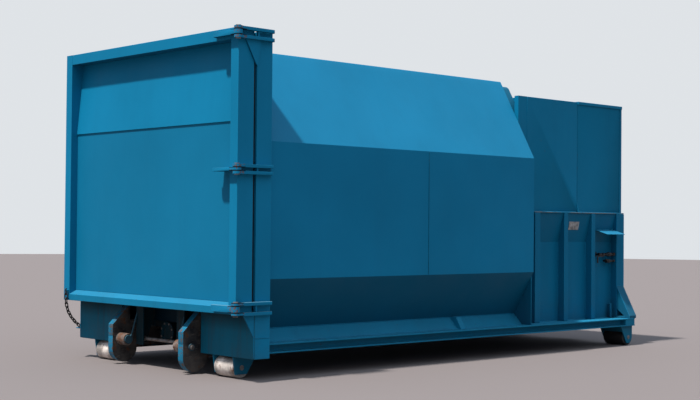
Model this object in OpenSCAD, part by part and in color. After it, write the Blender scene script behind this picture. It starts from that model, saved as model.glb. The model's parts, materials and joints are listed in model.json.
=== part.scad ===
// Self-contained compactor: a roll-off container with a packer head, hook-lift skids and a hinged end door.
// x runs from the end door to the hook, y from the hinge side to the lock side, z up from the ground.

/* [Overall] */
// Width over the end frame's posts
frame_w = 2440; // [2000:10:2550]
// Height of the door's top edge above the ground
door_top = 2631; // [2200:1:2900]
// Height of the door's bottom edge above the ground
door_bottom = 503; // [440:1:600]
// Length from the door's face to the end of the container
container_len = 3487; // [2600:1:6000]

/* [Container skin] */
// How far the container's flat sides lie inside the posts' outer faces
side_in = 50; // [5:1:250]
// Half width of the flat roof
roof_half = 756; // [500:1:900]
// Half width of the flat floor
foot_half = 940; // [800:1:1000]
// Height of the floor's underside
floor_z = 364; // [330:1:400]
// Height of the lower side bend
low_bend_z = 758; // [650:1:900]
// Height of the upper side bend
high_bend_z = 1806; // [1500:1:1950]
// Height of the roof above the ground
roof_z = 2543; // [2100:1:2590]
// Thickness of the skin sheets
skin = 5; // [3:1:8]

/* [End frame] */
// Distance from the door's face to the posts
post_x = 180; // [172:1:200]
// Depth of the posts along the container
post_depth = 145; // [120:1:170]
// Width of the posts
post_w = 100; // [80:1:120]
// Wall of the square tubes
tube_wall = 6; // [4:1:10]
// Top of the sill that holds back the liquid
sill_top = 600; // [570:1:640]
// Height of the sill's tube
sill_h = 100; // [80:1:120]
// Underside of the header
header_z = 2500; // [2050:1:2520]
// Thickness of the apron plates
apron_t = 10; // [8:1:12]
// Height of the aprons' lower edges
apron_z = 165; // [150:1:200]
// Inner edge of the aprons from the middle
apron_in = 560; // [545:1:650]

/* [Door] */
// Depth of the door frame
door_depth = 150; // [130:1:160]
// Width of the door's stiles
stile_w = 90; // [70:1:110]
// Height of the door's top beam
top_beam_h = 86; // [70:1:120]
// Height of the bottom beam's upright face
bottom_face_h = 54; // [40:1:80]
// Height of the bottom beam's sloped ledge
ledge_h = 35; // [20:1:60]
// How far the flat panel lies behind the door's face
panel_x = 70; // [50:1:85]
// How much further back the sloped panel goes at its top
panel_slope = 50; // [20:1:55]
// Height of the seam between the two panels
seam_z = 1945; // [1500:1:2200]
// Thickness of the door's panels
panel_t = 6; // [4:1:10]

/* [Hinges] */
// Radius of the hinge pins
pin_r = 14; // [10:1:18]
// Radius of the hinge knuckles
knuckle_r = 32; // [26:1:32]
// Distance of the pins in front of the door's face
pin_front = 22; // [22:1:30]
// Distance of the pins outside the posts
pin_out = 25; // [25:1:35]
// Thickness of the hinge plates
hinge_t = 24; // [18:1:26]
// Thickness of the top leaf
top_leaf_t = 38; // [20:1:44]
// Thickness of the middle leaf
middle_leaf_t = 24; // [20:1:44]
// Thickness of the bottom leaf
bottom_leaf_t = 48; // [24:1:56]
// How far the leaves stand out of the door's face
leaf_out = 44; // [36:1:44]
// Length of the leaves across the door
leaf_len = 270; // [180:5:400]
// Gap between a leaf and the plates over and under it
leaf_gap = 1; // [0.5:0.5:4]
// Running clearance of a pin in its hole
pin_fit = 0.05; // [0.02:0.01:0.1]

/* [Lock] */
// Radius of the lock shaft
lock_r = 17; // [14:1:20]
// Distance of the lock shaft outside the post
lock_out = 29; // [28:1:34]
// Length of the claws from the shaft to the strike pins
claw_reach = 190; // [180:1:195]
// Radius of the strike pins
strike_r = 15; // [12:1:16]
// Clearance of the claws' mouths round the strike pins
claw_gap = 2; // [1:0.5:3]
// Thickness of the claws
claw_t = 20; // [14:1:26]

/* [Rails and skids] */
// How far the side rails lie inside the posts' outer faces
rail_in = 50; // [5:1:120]
// Height of the rails' upper faces
rail_top = 269; // [250:1:300]
// Height of the rails
rail_h = 74; // [60:1:90]
// Width of the rails' upper flanges
rail_flange = 140; // [110:1:180]
// Distance of the small lug on the rail's strip from the container's end
lug_end = 880; // [300:10:2000]
// Gauge over the outer faces of the skids
gauge = 1066; // [1040:1:1080]
// Width of the skids and their noses
skid_w = 66; // [60:1:90]
// Height of the skids' undersides
skid_z = 130; // [110:1:150]
// Height of the skid beams
skid_h = 180; // [140:1:190]
// Height of the noses' bevelled edges above the ground
nose_bevel_z = 333; // [300:1:360]
// Radius of the round underside of the noses
nose_r = 120; // [100:1:120]

/* [Rollers] */
// Radius of the ground rollers
roller_r = 80; // [70:1:90]
// Length of the ground rollers
roller_len = 236; // [200:1:240]
// Radius of the ground rollers' axles
axle_r = 20; // [16:1:24]
// Running clearance of the rollers on their axles
roller_fit = 0.08; // [0.03:0.01:0.1]
// Distance of the front rollers' axles from the door's face
front_axle_x = 250; // [245:1:280]
// Outer end of the front rollers from the middle
front_roller_out = 966; // [930:1:1000]
// How far the rear rollers' outer ends lie inside the rails' outer faces
rear_roller_in = 46; // [44:1:90]
// Radius of the rollers between the noses
nose_roller_r = 50; // [40:1:52]
// Length of the rollers inside the noses
nose_roller_len = 114; // [80:1:150]
// Radius of the nose rollers' pins and of the shaft between the legs
nose_shaft_r = 14; // [12:1:18]

/* [Packer] */
// Half width over the packer's stiffeners
packer_half = 1010; // [950:1:1010]
// Depth of the stiffeners in front of the packer's wall
stiffener_d = 78; // [60:1:84]
// Width of a stiffener
stiffener_w = 56; // [40:1:80]
// Height of the packer's deck
deck_z = 1322; // [1250:1:1400]
// Height where the packer's walls start to lean out
lean_z = 1030; // [950:1:1120]
// Thickness of the packer's walls
wall_t = 6; // [4:1:10]
// Thickness of the deck and the packer's floor
deck_t = 12; // [8:1:16]
// Depth of the ring between the container's end plate and the packer
ring_d = 125; // [100:1:150]
// Length of the hopper along the container
hopper_len = 765; // [600:5:900]
// Length of the machine cabinet behind the hopper
cabinet_len = 728; // [650:1:1200]
// Height of the hopper's rim
hopper_top = 2400; // [2000:1:2500]
// Half width of the hopper
hopper_half = 970; // [900:1:990]

/* [Ram] */
// Half width of the ram
ram_half = 900; // [700:5:915]
// Height of the ram's face
ram_h = 620; // [450:5:620]
// Length of the ram
ram_len = 760; // [700:5:770]
// Stroke of the ram
stroke = 850; // [600:5:860]
// Outer radius of the cylinder's barrel
barrel_r = 78; // [70:1:90]
// Outer radius of the cylinder's middle stage
stage_r = 62; // [50:1:64]
// Radius of the cylinder's rod
rod_r = 44; // [30:1:46]
// Sliding clearance inside the cylinder
slide_fit = 0.1; // [0.05:0.05:0.1]

/* [Hook frame] */
// Height of the hook bar above the ground
hook_z = 1570; // [1400:5:1600]
// Radius of the hook bar
hook_r = 25; // [20:1:30]
// Free length of the hook bar
hook_free = 340; // [250:5:400]
// Distance of the hook bar behind the rear wall
hook_reach = 142; // [110:1:180]

/* [Hidden] */
$fn = 48;

// joined lengths
half_w = frame_w / 2;
side_half = half_w - side_in;
rail_half = half_w - rail_in;
rear_roller_out = rail_half - rear_roller_in;
bulk_back = container_len + 8 + ring_d;
hopper_x = bulk_back + 5;
hopper_back = hopper_x + hopper_len;
packer_end = hopper_back + cabinet_len;
hook_x = packer_end + hook_reach;
hook_plate_r = hook_r + 15;
mid_x = (hook_x + hook_plate_r - pin_front - knuckle_r) / 2;
post_back = post_x + post_depth;
pin_x = -pin_front;
pin_y = -half_w - pin_out;

// colours
blue = [0.05, 0.30, 0.43];
dark = [0.10, 0.10, 0.11];
steel = [0.55, 0.52, 0.50];
rusty = [0.42, 0.34, 0.29];

// corners of the container's section from the hinge side's foot over the roof to the lock side's foot
outer = [[-foot_half, floor_z], [-side_half, low_bend_z], [-side_half, high_bend_z], [-roof_half, roof_z],
    [roof_half, roof_z], [side_half, high_bend_z], [side_half, low_bend_z], [foot_half, floor_z]];

// direction of the section's edge that leaves corner i, and its normal towards the inside
function edge(i) = let (d = outer[(i + 1) % 8] - outer[i]) d / norm(d);
function inward(i) = [edge(i)[1], -edge(i)[0]];

// the same corners moved inside by t, where neighbouring sheets meet on the mitre
function inside(i, t) = let (a = inward((i + 7) % 8), b = inward(i)) outer[i] + t * (a + b) / (1 + a * b);
function sheet(from, to, t) = concat([for (i = [from : to]) outer[i]],
    [for (i = [to : -1 : from]) inside(i, t)]);

// a box given by its low and high ends along each axis
module block(x, y, z) {
    translate([x[0], y[0], z[0]]) cube([x[1] - x[0], y[1] - y[0], z[1] - z[0]]);
}

// an outline in y and z drawn out along x, and one in x and z drawn out along y
module along_x(x) {
    translate([x[0], 0, 0]) rotate([90, 0, 90]) linear_extrude(x[1] - x[0]) children();
}
module along_y(y) {
    translate([0, y[1], 0]) rotate([90, 0, 0]) linear_extrude(y[1] - y[0]) children();
}

// a round bar along y or along z
module bar_y(x, z, y, r) {
    translate([x, y[0], z]) rotate([-90, 0, 0]) cylinder(h = y[1] - y[0], r = r);
}
module bar_z(x, y, z, r) {
    translate([x, y, z[0]]) cylinder(h = z[1] - z[0], r = r);
}

// an upright square tube, closed at its top
module upright_tube(x, y, z, wall) {
    difference() {
        block(x, y, z);
        block([x[0] + wall, x[1] - wall], [y[0] + wall, y[1] - wall], [z[0] - 1, z[1] - wall]);
    }
}

// a square tube that lies across the container, open at both ends
module cross_tube(x, y, z, wall) {
    difference() {
        block(x, y, z);
        block([x[0] + wall, x[1] - wall], [y[0] - 1, y[1] + 1], [z[0] + wall, z[1] - wall]);
    }
}

// everything is drawn with the door's face at x = 0 and then moved so that the whole lies round the middle
module placed() {
    translate([-mid_x, 0, 0]) children();
}
module lock_side() {
    mirror([0, 1, 0]) children();
}
module both_sides() {
    children();
    lock_side() children();
}

// ---- container skin

module roof_panel() {
    color(blue) placed() along_x([post_back, container_len]) polygon(sheet(2, 5, skin));
}

module hinge_side_panel() {
    color(blue) placed() along_x([post_back, container_len]) polygon(sheet(0, 2, skin));
}

module lock_side_panel() {
    color(blue) placed() lock_side() along_x([post_back, container_len]) polygon(sheet(0, 2, skin));
}

module floor_panel() {
    color(blue) placed() along_x([post_back, container_len])
        polygon([outer[7], outer[0], inside(0, skin), inside(7, skin)]);
}

// ---- end frame

post_top = door_top - 21;

module post() {
    upright_tube([post_x, post_back], [-half_w, -half_w + post_w], [apron_z, post_top], tube_wall);
}

module end_posts() {
    color(blue) placed() both_sides() post();
}

module header_beam() {
    y_in = half_w - post_w;
    color(blue) placed() cross_tube([post_x, post_back], [-y_in, y_in], [header_z, post_top], tube_wall);
}

// the sill's tube, with a thin plate under its back edge that reaches down to the floor
module sill_beam() {
    y_in = half_w - post_w;
    low = sill_top - sill_h;
    color(blue) placed() {
        cross_tube([post_x, post_back], [-y_in, y_in], [low, sill_top], tube_wall);
        block([post_back - 8, post_back], [-y_in, y_in], [floor_z, low]);
    }
}

// plates that close the frame's corners outside the eight-sided section
module frame_corner_plates() {
    y_in = half_w - post_w;
    plate = [post_back - apron_t, post_back];
    up_slope = (outer[3][0] - outer[2][0]) / (outer[3][1] - outer[2][1]);
    low_slope = (outer[1][0] - outer[0][0]) / (outer[1][1] - outer[0][1]);
    lap = 12;
    top_y = outer[3][0] + up_slope * (header_z - roof_z) + lap;
    side_z = high_bend_z + (y_in * -1 - outer[2][0]) / up_slope - lap;
    foot_y = outer[0][0] + low_slope * (sill_top - floor_z) + lap;
    foot_side_z = floor_z + (y_in * -1 - outer[0][0]) / low_slope + lap;
    color(blue) placed() both_sides() along_x(plate) {
        polygon([[-y_in, side_z], [-y_in, header_z], [top_y, header_z]]);
        polygon([[-y_in, sill_top], [-y_in, foot_side_z], [foot_y, sill_top]]);
    }
}

// front plates under the door, one on each side of the skids
module end_aprons() {
    color(blue) placed() both_sides()
        block([post_x - apron_t, post_x], [-half_w, -apron_in], [apron_z, sill_top - sill_h + 16]);
}

// ---- rails, skids and floor bearers

flange_t = 9;
rail_end = packer_end - 34;
strip_foot = rail_half - rail_flange + 10;

// a channel open to the outside, with the sloped strip that joins it to the skin and a block at its end
module rail() {
    web = rail_half - 65;
    along_x([post_back, rail_end]) polygon([[-rail_half, rail_top], [-rail_half, rail_top - flange_t],
        [-web, rail_top - flange_t], [-web, rail_top - rail_h + flange_t],
        [-rail_half, rail_top - rail_h + flange_t], [-rail_half, rail_top - rail_h],
        [-web + flange_t, rail_top - rail_h], [-web + flange_t, rail_top - flange_t],
        [-rail_half + rail_flange, rail_top - flange_t], [-rail_half + rail_flange, rail_top]]);
    along_x([post_back, container_len]) polygon([[-foot_half, floor_z], [-strip_foot, rail_top],
        [-strip_foot + 8, rail_top], [-foot_half + 8, floor_z]]);
    block([container_len, rail_end], [-rail_half + rail_flange, -wall_y], [rail_top - flange_t, rail_top]);
    block([rail_end - 150, rail_end], [-rail_half + 4, -web],
        [rail_top - rail_h + flange_t, rail_top - flange_t]);
}

// a small folded lug on the rail's sloped strip: one leg stands across the strip, the other covers its edge
module strip_lug() {
    t = 6;
    x = container_len - lug_end;
    top = floor_z + 6;
    along_x([x, x + t]) polygon([[-strip_foot, rail_top], [-strip_foot - 40, rail_top],
        [-foot_half - 75, top], [-foot_half - 8, top], [-foot_half, floor_z]]);
    along_x([x, x + 60]) polygon([[-strip_foot - 40, rail_top], [-foot_half - 75, top],
        [-foot_half - 75 + t, top], [-strip_foot - 40 + t, rail_top]]);
}

module side_rails() {
    color(blue) placed() both_sides() {
        rail();
        strip_lug();
    }
}

skid_out = gauge / 2;
skid_in = skid_out - skid_w;
nose_x = 22;
nose_centre = [nose_x + nose_r - 1, nose_r + 16];
nose_pin = [99, 212];
nose_split_z = 235;
nose_back = nose_x + 2 * nose_r - 3;

// side outline of a nose: a long bevel from the sill down to an upright front, and a round underside
module nose_outline() {
    rise = sill_top - sill_h - 1 - nose_bevel_z;
    intersection() {
        union() {
            translate(nose_centre) circle(r = nose_r, $fn = 96);
            polygon([[nose_x, nose_centre[1]], [nose_x, nose_bevel_z],
                [nose_x + rise * 1.02, nose_bevel_z + rise], [nose_x + rise * 1.02, floor_z],
                [nose_back, floor_z], [nose_back, nose_centre[1]]]);
        }
        translate([nose_x, 0]) square([nose_back - nose_x, roof_z]);
    }
}

// an I beam with its nose at the door's end; a fine groove parts the nose's upper and lower plates
module skid() {
    web = [-skid_out + skid_w / 2 - 5, -skid_out + skid_w / 2 + 5];
    difference() {
        along_y([-skid_out, -skid_in]) nose_outline();
        bar_y(nose_pin[0], nose_pin[1], [-skid_out - 1, -skid_in + 1], nose_shaft_r + pin_fit);
        block([nose_x - 1, nose_x + 3], [-skid_out - 1, -skid_in + 1], [nose_split_z, nose_split_z + 3]);
    }
    for (z = [skid_z, skid_z + skid_h - flange_t])
        block([nose_back, packer_end], [-skid_out, -skid_in], [z, z + flange_t]);
    block([nose_back, packer_end], web, [skid_z + flange_t, skid_z + skid_h - flange_t]);
}

module skids() {
    color(rusty) placed() both_sides() skid();
}

// channels between the skids and the floor, evenly spaced
module floor_bearers() {
    first = post_back + 60;
    count = 9;
    step = (packer_end - 160 - first) / (count - 1);
    bearer_half = foot_y - 2;
    color(blue) placed() for (i = [0 : count - 1]) translate([first + i * step, 0, 0]) difference() {
        block([0, 60], [-bearer_half, bearer_half], [skid_z + skid_h, floor_z]);
        block([6, 61], [-bearer_half - 1, bearer_half + 1], [skid_z + skid_h + 6, floor_z - 6]);
    }
}

// ---- hinges

leaf_heights = [door_bottom + 43, door_bottom + 1075.5, door_top - 42.5];
leaf_sizes = [bottom_leaf_t, middle_leaf_t, top_leaf_t];

// half the height between the two straps of hinge i
function half_gap(i) = leaf_sizes[i] / 2 + leaf_gap;

// one bracket plate: a round eye at the pin and a strap along the post's side
module strap(z) {
    strap_out = half_w + 42;
    end_r = 18;
    translate([0, 0, z]) difference() {
        union() {
            translate([pin_x, pin_y, 0]) cylinder(h = hinge_t, r = knuckle_r);
            linear_extrude(hinge_t) polygon([[pin_x, pin_y - 20], [30, -strap_out],
                [post_back - end_r, -strap_out], [post_back, -strap_out + end_r], [post_back, -half_w],
                [post_x, -half_w], [post_x, -half_w - 2], [pin_x, -half_w - 2]]);
        }
        translate([pin_x, pin_y, -1]) cylinder(h = hinge_t + 2, r = pin_r + pin_fit);
    }
}

// the two straps of hinge i with a spacer between them
module bracket(i) {
    z = leaf_heights[i];
    strap(z - half_gap(i) - hinge_t);
    strap(z + half_gap(i));
    block([post_x - 18, post_x - 6], [-half_w - 30, -half_w - 6], [z - half_gap(i), z + half_gap(i)]);
}

// the top rib stands outside the post, clear of the door; the bottom one is flush with the post, under the door
module top_rib(top) {
    along_y([-half_w - 14, -half_w - 2]) polygon([[60, top], [post_x + 20, top], [post_x + 20, top - 40],
        [post_x - 4, top - 185], [post_x - 18, top - 185]]);
    block([post_x, post_x + 20], [-half_w - 2, -half_w], [top - 40, top]);
}
module bottom_rib(top) {
    along_y([-half_w, -half_w + 12]) polygon([[72, top], [post_x - apron_t, top],
        [post_x - apron_t, top - 165], [post_x - apron_t - 4, top - 165]]);
}

module hinge_brackets() {
    color(blue) placed() {
        for (i = [0 : 2]) bracket(i);
        top_rib(leaf_heights[2] - half_gap(2) - hinge_t);
        bottom_rib(leaf_heights[0] - half_gap(0) - hinge_t);
    }
}

// turned pins with a low head at each end
module hinge_pins() {
    color(steel) placed() for (i = [0 : 2]) {
        z = leaf_heights[i];
        reach = half_gap(i) + hinge_t;
        bar_z(pin_x, pin_y, [z - reach - 6, z + reach + 6], pin_r);
        for (low = [z - reach - 6, z + reach]) bar_z(pin_x, pin_y, [low, low + 6], pin_r + 6);
    }
}

module door_hinge_leaves() {
    color(blue) placed() for (i = [0 : 2]) translate([0, 0, leaf_heights[i] - leaf_sizes[i] / 2]) difference() {
        union() {
            translate([pin_x, pin_y, 0]) cylinder(h = leaf_sizes[i], r = knuckle_r);
            linear_extrude(leaf_sizes[i]) polygon([[-leaf_out, pin_y], [-leaf_out, pin_y + leaf_len],
                [-leaf_out + 14, pin_y + leaf_len + 22], [0, pin_y + leaf_len + 26], [0, -half_w],
                [pin_x, -half_w - 2]]);
        }
        translate([pin_x, pin_y, -1]) cylinder(h = leaf_sizes[i] + 2, r = pin_r + pin_fit);
    }
}

// ---- door

stile_in = half_w - stile_w;
beam_top_z = door_bottom + bottom_face_h + ledge_h;
top_beam_z = door_top - top_beam_h;

module stile() {
    upright_tube([0, door_depth], [-half_w, -stile_in], [door_bottom, door_top], tube_wall);
}

module door_hinge_stile() {
    color(blue) placed() stile();
}

module door_lock_stile() {
    color(blue) placed() {
        lock_side() stile();
        chain_lug();
    }
}

module door_top_beam() {
    color(blue) placed() cross_tube([0, door_depth], [-stile_in, stile_in], [top_beam_z, door_top], tube_wall);
}

// the bottom beam: an upright face under a ledge that sheds rain from the panel
module door_bottom_beam() {
    w = tube_wall;
    color(blue) placed() along_y([-stile_in, stile_in]) difference() {
        polygon([[0, door_bottom], [0, door_bottom + bottom_face_h], [panel_x, beam_top_z],
            [door_depth, beam_top_z], [door_depth, door_bottom]]);
        polygon([[w, door_bottom + w], [w, door_bottom + bottom_face_h - w], [panel_x + w, beam_top_z - w],
            [door_depth - w, beam_top_z - w], [door_depth - w, door_bottom + w]]);
    }
}

module door_lower_panel() {
    color(blue) placed() block([panel_x, panel_x + panel_t], [-stile_in, stile_in], [beam_top_z, seam_z]);
}

module door_upper_panel() {
    back = panel_x + panel_slope;
    color(blue) placed() along_y([-stile_in, stile_in]) polygon([[panel_x, seam_z], [back, top_beam_z],
        [back + panel_t, top_beam_z], [panel_x + panel_t, seam_z]]);
}

// flat bars on edge behind the panels: each bar's front edge lies on the panel at its own height
module door_back_ribs() {
    t = 10;
    count = 4;
    step = (seam_z - beam_top_z) / count;
    half_way = (seam_z + top_beam_z) / 2;
    lean = panel_slope / (top_beam_z - seam_z);
    color(blue) placed() {
        for (i = [1 : count]) translate([0, 0, beam_top_z + i * step - t])
            block([panel_x + panel_t, door_depth], [-stile_in, stile_in], [0, t]);
        along_y([-stile_in, stile_in]) polygon([
            [panel_x + panel_t + lean * (half_way - seam_z), half_way], [door_depth, half_way],
            [door_depth, half_way + t], [panel_x + panel_t + lean * (half_way + t - seam_z), half_way + t]]);
    }
}

// a rubber ring on the door's back that seats on the end frame
module door_seal() {
    x = [door_depth, post_x - 0.5];
    out_y = half_w - 25;
    low = door_bottom + 27;
    high = post_top - 10;
    w = 40;
    color(dark) placed() difference() {
        block(x, [-out_y, out_y], [low, high]);
        block([x[0] - 1, x[1] + 1], [-out_y + w, out_y - w], [low + w, high - w]);
    }
}

// ---- lock on the far side, drawn with its claws swung back along the container

lock_x = post_x + 67;
lock_y = half_w + lock_out;
claw_heights = [door_bottom + 340, door_bottom + 1020, door_bottom + 1700];
ear_t = 12;
bearing_drop = 60;

module claw(z) {
    half = 24;
    hub = lock_out - 1;
    translate([lock_x, lock_y, z - claw_t / 2]) linear_extrude(claw_t) difference() {
        union() {
            circle(r = hub);
            translate([0, -half]) square([claw_reach + 38, 2 * half]);
        }
        translate([claw_reach, 0]) circle(r = strike_r + claw_gap);
        translate([claw_reach - strike_r - claw_gap, 0]) square([2 * (strike_r + claw_gap), half + 1]);
    }
}

module lock_shaft() {
    lever_z = door_bottom + 620;
    color(blue) placed() {
        bar_z(lock_x, lock_y, [door_bottom + 90, door_bottom + 1960], lock_r);
        for (z = claw_heights) claw(z);
        bar_z(lock_x, lock_y, [claw_heights[0] - bearing_drop + 0.3, claw_heights[0] - bearing_drop + 14],
            lock_out - 3);
        bar_z(lock_x, lock_y, [lever_z - 25, lever_z + 25], lock_out - 3);
        block([lock_x, lock_x + 230], [lock_y - 15, lock_y + 15], [lever_z - 6, lever_z + 6]);
        bar_z(lock_x + 230, lock_y, [lever_z - 50, lever_z + 50], 16);
    }
}

module lock_bearings() {
    color(blue) placed() for (z = claw_heights) translate([0, 0, z - bearing_drop - 60]) difference() {
        block([lock_x - 25, lock_x + 25], [half_w, half_w + 2 * lock_out - 1], [0, 60]);
        translate([lock_x, lock_y, -1]) cylinder(h = 62, r = lock_r + pin_fit);
    }
}

// each strike is a pin between two ears on the door's edge
module strike_pins() {
    x = lock_x - claw_reach;
    half = claw_t / 2 + 12;
    color(steel) placed() for (z = claw_heights) {
        bar_z(x, lock_y, [z - half, z + half], strike_r);
        for (low = [z - half - ear_t, z + half])
            block([x - 24, x + 26], [half_w, lock_y + 22], [low, low + ear_t]);
    }
}

// ---- keeper chain: from a lug on the far stile's face it hangs past the door's corner to a shelf on the post

wire_r = 5;
link_in = 40;
link_bend = 11.5;
link_straight = link_in / 2 - link_bend + wire_r;
chain_turn = [0, 2, 8, 18, 29, 39, 47, 53, 57, 60, 61];
chain_side = 27;
chain_top = [-21, half_w - 70, door_bottom + 97];

// a link with its long axis along z
module link() {
    h = link_straight;
    for (s = [-1, 1]) translate([s * link_bend, 0, -h]) cylinder(h = 2 * h, r = wire_r, $fn = 24);
    for (a = [0, 180]) rotate([0, a, 0]) translate([0, 0, h]) rotate([90, 0, 0])
        rotate_extrude(angle = 180, $fn = 24) translate([link_bend, 0]) circle(r = wire_r);
}

// where link i hangs: each one a pitch further on, turned a little more towards the container
pitch = link_in - 0.9;
function chain_at(i) = i == 0 ? [0, 0] : chain_at(i - 1) + pitch
    * ([sin(chain_turn[i]), -cos(chain_turn[i])] + [sin(chain_turn[i - 1]), -cos(chain_turn[i - 1])]) / 2;

module keeper_chain() {
    drop = link_in / 2 + wire_r;
    color(dark) placed() translate(chain_top) {
        rotate([0, 0, chain_side]) for (i = [0 : len(chain_turn) - 1])
            translate([chain_at(i)[0], 0, chain_at(i)[1] - drop]) rotate([0, -chain_turn[i], 0])
                rotate([0, 0, i % 2 * 90]) link();
    }
}

// the lug that the first link hangs from: a round bar bent to a U, with both ends on the stile's face
module chain_lug() {
    bend = 16;
    difference() {
        translate(chain_top) translate([0, 0, -2 * wire_r - 0.3]) rotate([0, 0, chain_side])
            translate([bend, 0, 0]) {
                rotate([0, 0, 90]) rotate_extrude(angle = 180) translate([bend, 0]) circle(r = wire_r);
                for (s = [-1, 1]) translate([0, s * bend, 0]) rotate([0, 90, 0]) cylinder(h = 40, r = wire_r);
            }
        block([3, 100], [0, frame_w], [0, door_top]);
    }
}

// a shelf on the lock post that the chain's last link rests on
module chain_shelf() {
    last = len(chain_turn) - 1;
    foot = chain_at(last) + link_straight * [sin(chain_turn[last]), -cos(chain_turn[last])];
    x = chain_top[0] + foot[0] * cos(chain_side);
    z = chain_top[2] - link_in / 2 - wire_r + foot[1] - link_bend - wire_r - 0.3;
    color(blue) placed() block([x - 16, x + 30], [half_w, half_w + 56], [z - 8, z]);
}

// ---- rollers between the noses

module nose_roller() {
    color(rusty) placed() difference() {
        bar_y(nose_pin[0], nose_pin[1], [-skid_in + 1, -skid_in + 1 + nose_roller_len], nose_roller_r);
        bar_y(nose_pin[0], nose_pin[1], [-skid_in, -skid_in + 2 + nose_roller_len], nose_shaft_r + roller_fit);
    }
}

module hinge_side_nose_roller() {
    nose_roller();
}

module lock_side_nose_roller() {
    lock_side() nose_roller();
}

// a stub pin in each nose: a bolt head outside, a disc inside the roller and a thin stay up to the leg
module nose_pins() {
    disc = -skid_in + 2 + nose_roller_len;
    stay = [nose_pin[0] + 18, nose_pin[1] + 30];
    top = [post_x - 4, 440];
    run = top - stay;
    color(steel) placed() both_sides() {
        bar_y(nose_pin[0], nose_pin[1], [-skid_out - 12, disc + 11], nose_shaft_r);
        bar_y(nose_pin[0], nose_pin[1], [-skid_out - 12, -skid_out], nose_shaft_r + 13);
        bar_y(nose_pin[0], nose_pin[1], [disc, disc + 11], nose_roller_r - 14);
        bar_y(stay[0], stay[1], [disc, disc + 24], 8);
        difference() {
            translate([stay[0], disc + 17, stay[1]]) rotate([0, atan2(run[0], run[1]), 0])
                cylinder(h = norm(run), r = 6);
            block([post_x - 12, post_x + 20], [disc, disc + 40], [0, door_bottom]);
        }
    }
}

leg_y = [-340, -238];
leg_web = [-295, -285];

// the shaft that ties the two legs together
module nose_shaft() {
    color(steel) placed() {
        bar_y(post_x + 30, 220, [leg_web[0] - 14, -leg_web[0] + 14], nose_shaft_r);
        both_sides() bar_y(post_x + 30, 220, [leg_web[1] + 1, leg_web[1] + 9], nose_shaft_r + 8);
    }
}

// legs that hang from the sill behind the door: a front plate with a web behind it, bored for the shaft
module nose_hangers() {
    low = sill_top - sill_h;
    color(blue) placed() both_sides() {
        block([post_x - 12, post_x], leg_y, [170, low + 16]);
        difference() {
            along_y(leg_web) polygon([[post_x, 190], [post_x + 60, 190], [post_x + 90, 300],
                [post_back - 8, 410], [post_back - 8, low], [post_x, low]]);
            bar_y(post_x + 30, 220, [leg_web[0] - 1, leg_web[1] + 1], nose_shaft_r + pin_fit);
        }
    }
}

// ---- ground rollers

front_axle = [front_axle_x, roller_r];
rear_axle = [packer_end - 98, roller_r];
side_gap = 1;
cheek_t = 12;

module ground_roller(axle, out) {
    color(steel) placed() difference() {
        bar_y(axle[0], axle[1], [-out, -out + roller_len], roller_r);
        bar_y(axle[0], axle[1], [-out - 1, -out + roller_len + 1], axle_r + roller_fit);
    }
}

module hinge_side_front_roller() {
    ground_roller(front_axle, front_roller_out);
}

module lock_side_front_roller() {
    lock_side() ground_roller(front_axle, front_roller_out);
}

module hinge_side_rear_roller() {
    ground_roller(rear_axle, rear_roller_out);
}

module lock_side_rear_roller() {
    lock_side() ground_roller(rear_axle, rear_roller_out);
}

// two cheek plates for each roller, bored for its axle
module cheeks(axle, out) {
    for (y = [-out - side_gap - cheek_t, -out + roller_len + side_gap]) difference() {
        along_y([y, y + cheek_t]) children();
        bar_y(axle[0], axle[1], [y - 1, y + cheek_t + 1], axle_r + pin_fit);
    }
}

module roller_brackets() {
    rail_z = rail_top - rail_h;
    x = rear_axle[0];
    color(blue) placed() both_sides() {
        cheeks(front_axle, front_roller_out) polygon([[post_x, floor_z], [post_back, floor_z],
            [post_back, rail_top + 45], [post_back + 62, rail_top + 20], [post_back + 62, apron_z],
            [front_axle[0] + 50, 30], [front_axle[0] - 60, 30], [front_axle[0] - 82, apron_z],
            [post_x, apron_z]]);
        cheeks(rear_axle, rear_roller_out) polygon([[x - 128, rail_z], [x + 64, rail_z], [x + 60, 70],
            [x + 24, 22], [x - 30, 22]]);
        difference() {
            block([x - 128, x + 64], [-rear_roller_out - 1, -rear_roller_out + roller_len + 1],
                [rail_z - 12, rail_z]);
            bar_y(x, rear_axle[1], [-rear_roller_out - 2, -rear_roller_out + roller_len + 2], roller_r + 10);
        }
        block([x - 128, x + 64], [-rail_half + 65 + flange_t, -rail_half + 260],
            [rail_z, rail_top - flange_t]);
    }
}

module roller_axles() {
    head = side_gap + cheek_t + 2;
    color(steel) placed() both_sides() for (a = [[front_axle, front_roller_out], [rear_axle, rear_roller_out]])
        bar_y(a[0][0], a[0][1], [-a[1] - head, -a[1] + roller_len + head], axle_r);
}

// the liquid drain: a flanged pipe under the sill
module drain_pipe() {
    x = post_back;
    r = 72;
    color(blue) placed() translate([x, 95, floor_z - 92]) {
        rotate([0, 90, 0]) difference() {
            union() {
                cylinder(h = 60, r = r);
                translate([0, 0, -20]) cylinder(h = 14, r = r + 16);
                translate([0, 0, -6]) cylinder(h = 10, r = r);
            }
            translate([0, 0, -6]) cylinder(h = 67, r = r - 8);
            translate([0, 0, -21]) cylinder(h = 8, r = r - 14);
        }
        block([10, 50], [-20, 20], [r - 3, 92]);
    }
}

// ---- packer head

wall_y = packer_half - stiffener_d;
wall_x = container_len + 220;
second_x = wall_x + (packer_end - 12 - wall_x) * 0.315;
third_x = wall_x + (packer_end - 12 - wall_x) * 0.625;
lean_y = packer_half - 13;

// half width of the packer's leaning wall at height z
function wall_at(z) = wall_y + (lean_y - wall_y) * (z - lean_z) / (deck_z - deck_t - lean_z);

chamber_z = floor_z + deck_t;
ram_low = chamber_z + 20.5;
ram_top = ram_low + ram_h;
throat_z = ram_top + 5;
mouth_back = hopper_back - 100;

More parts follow.
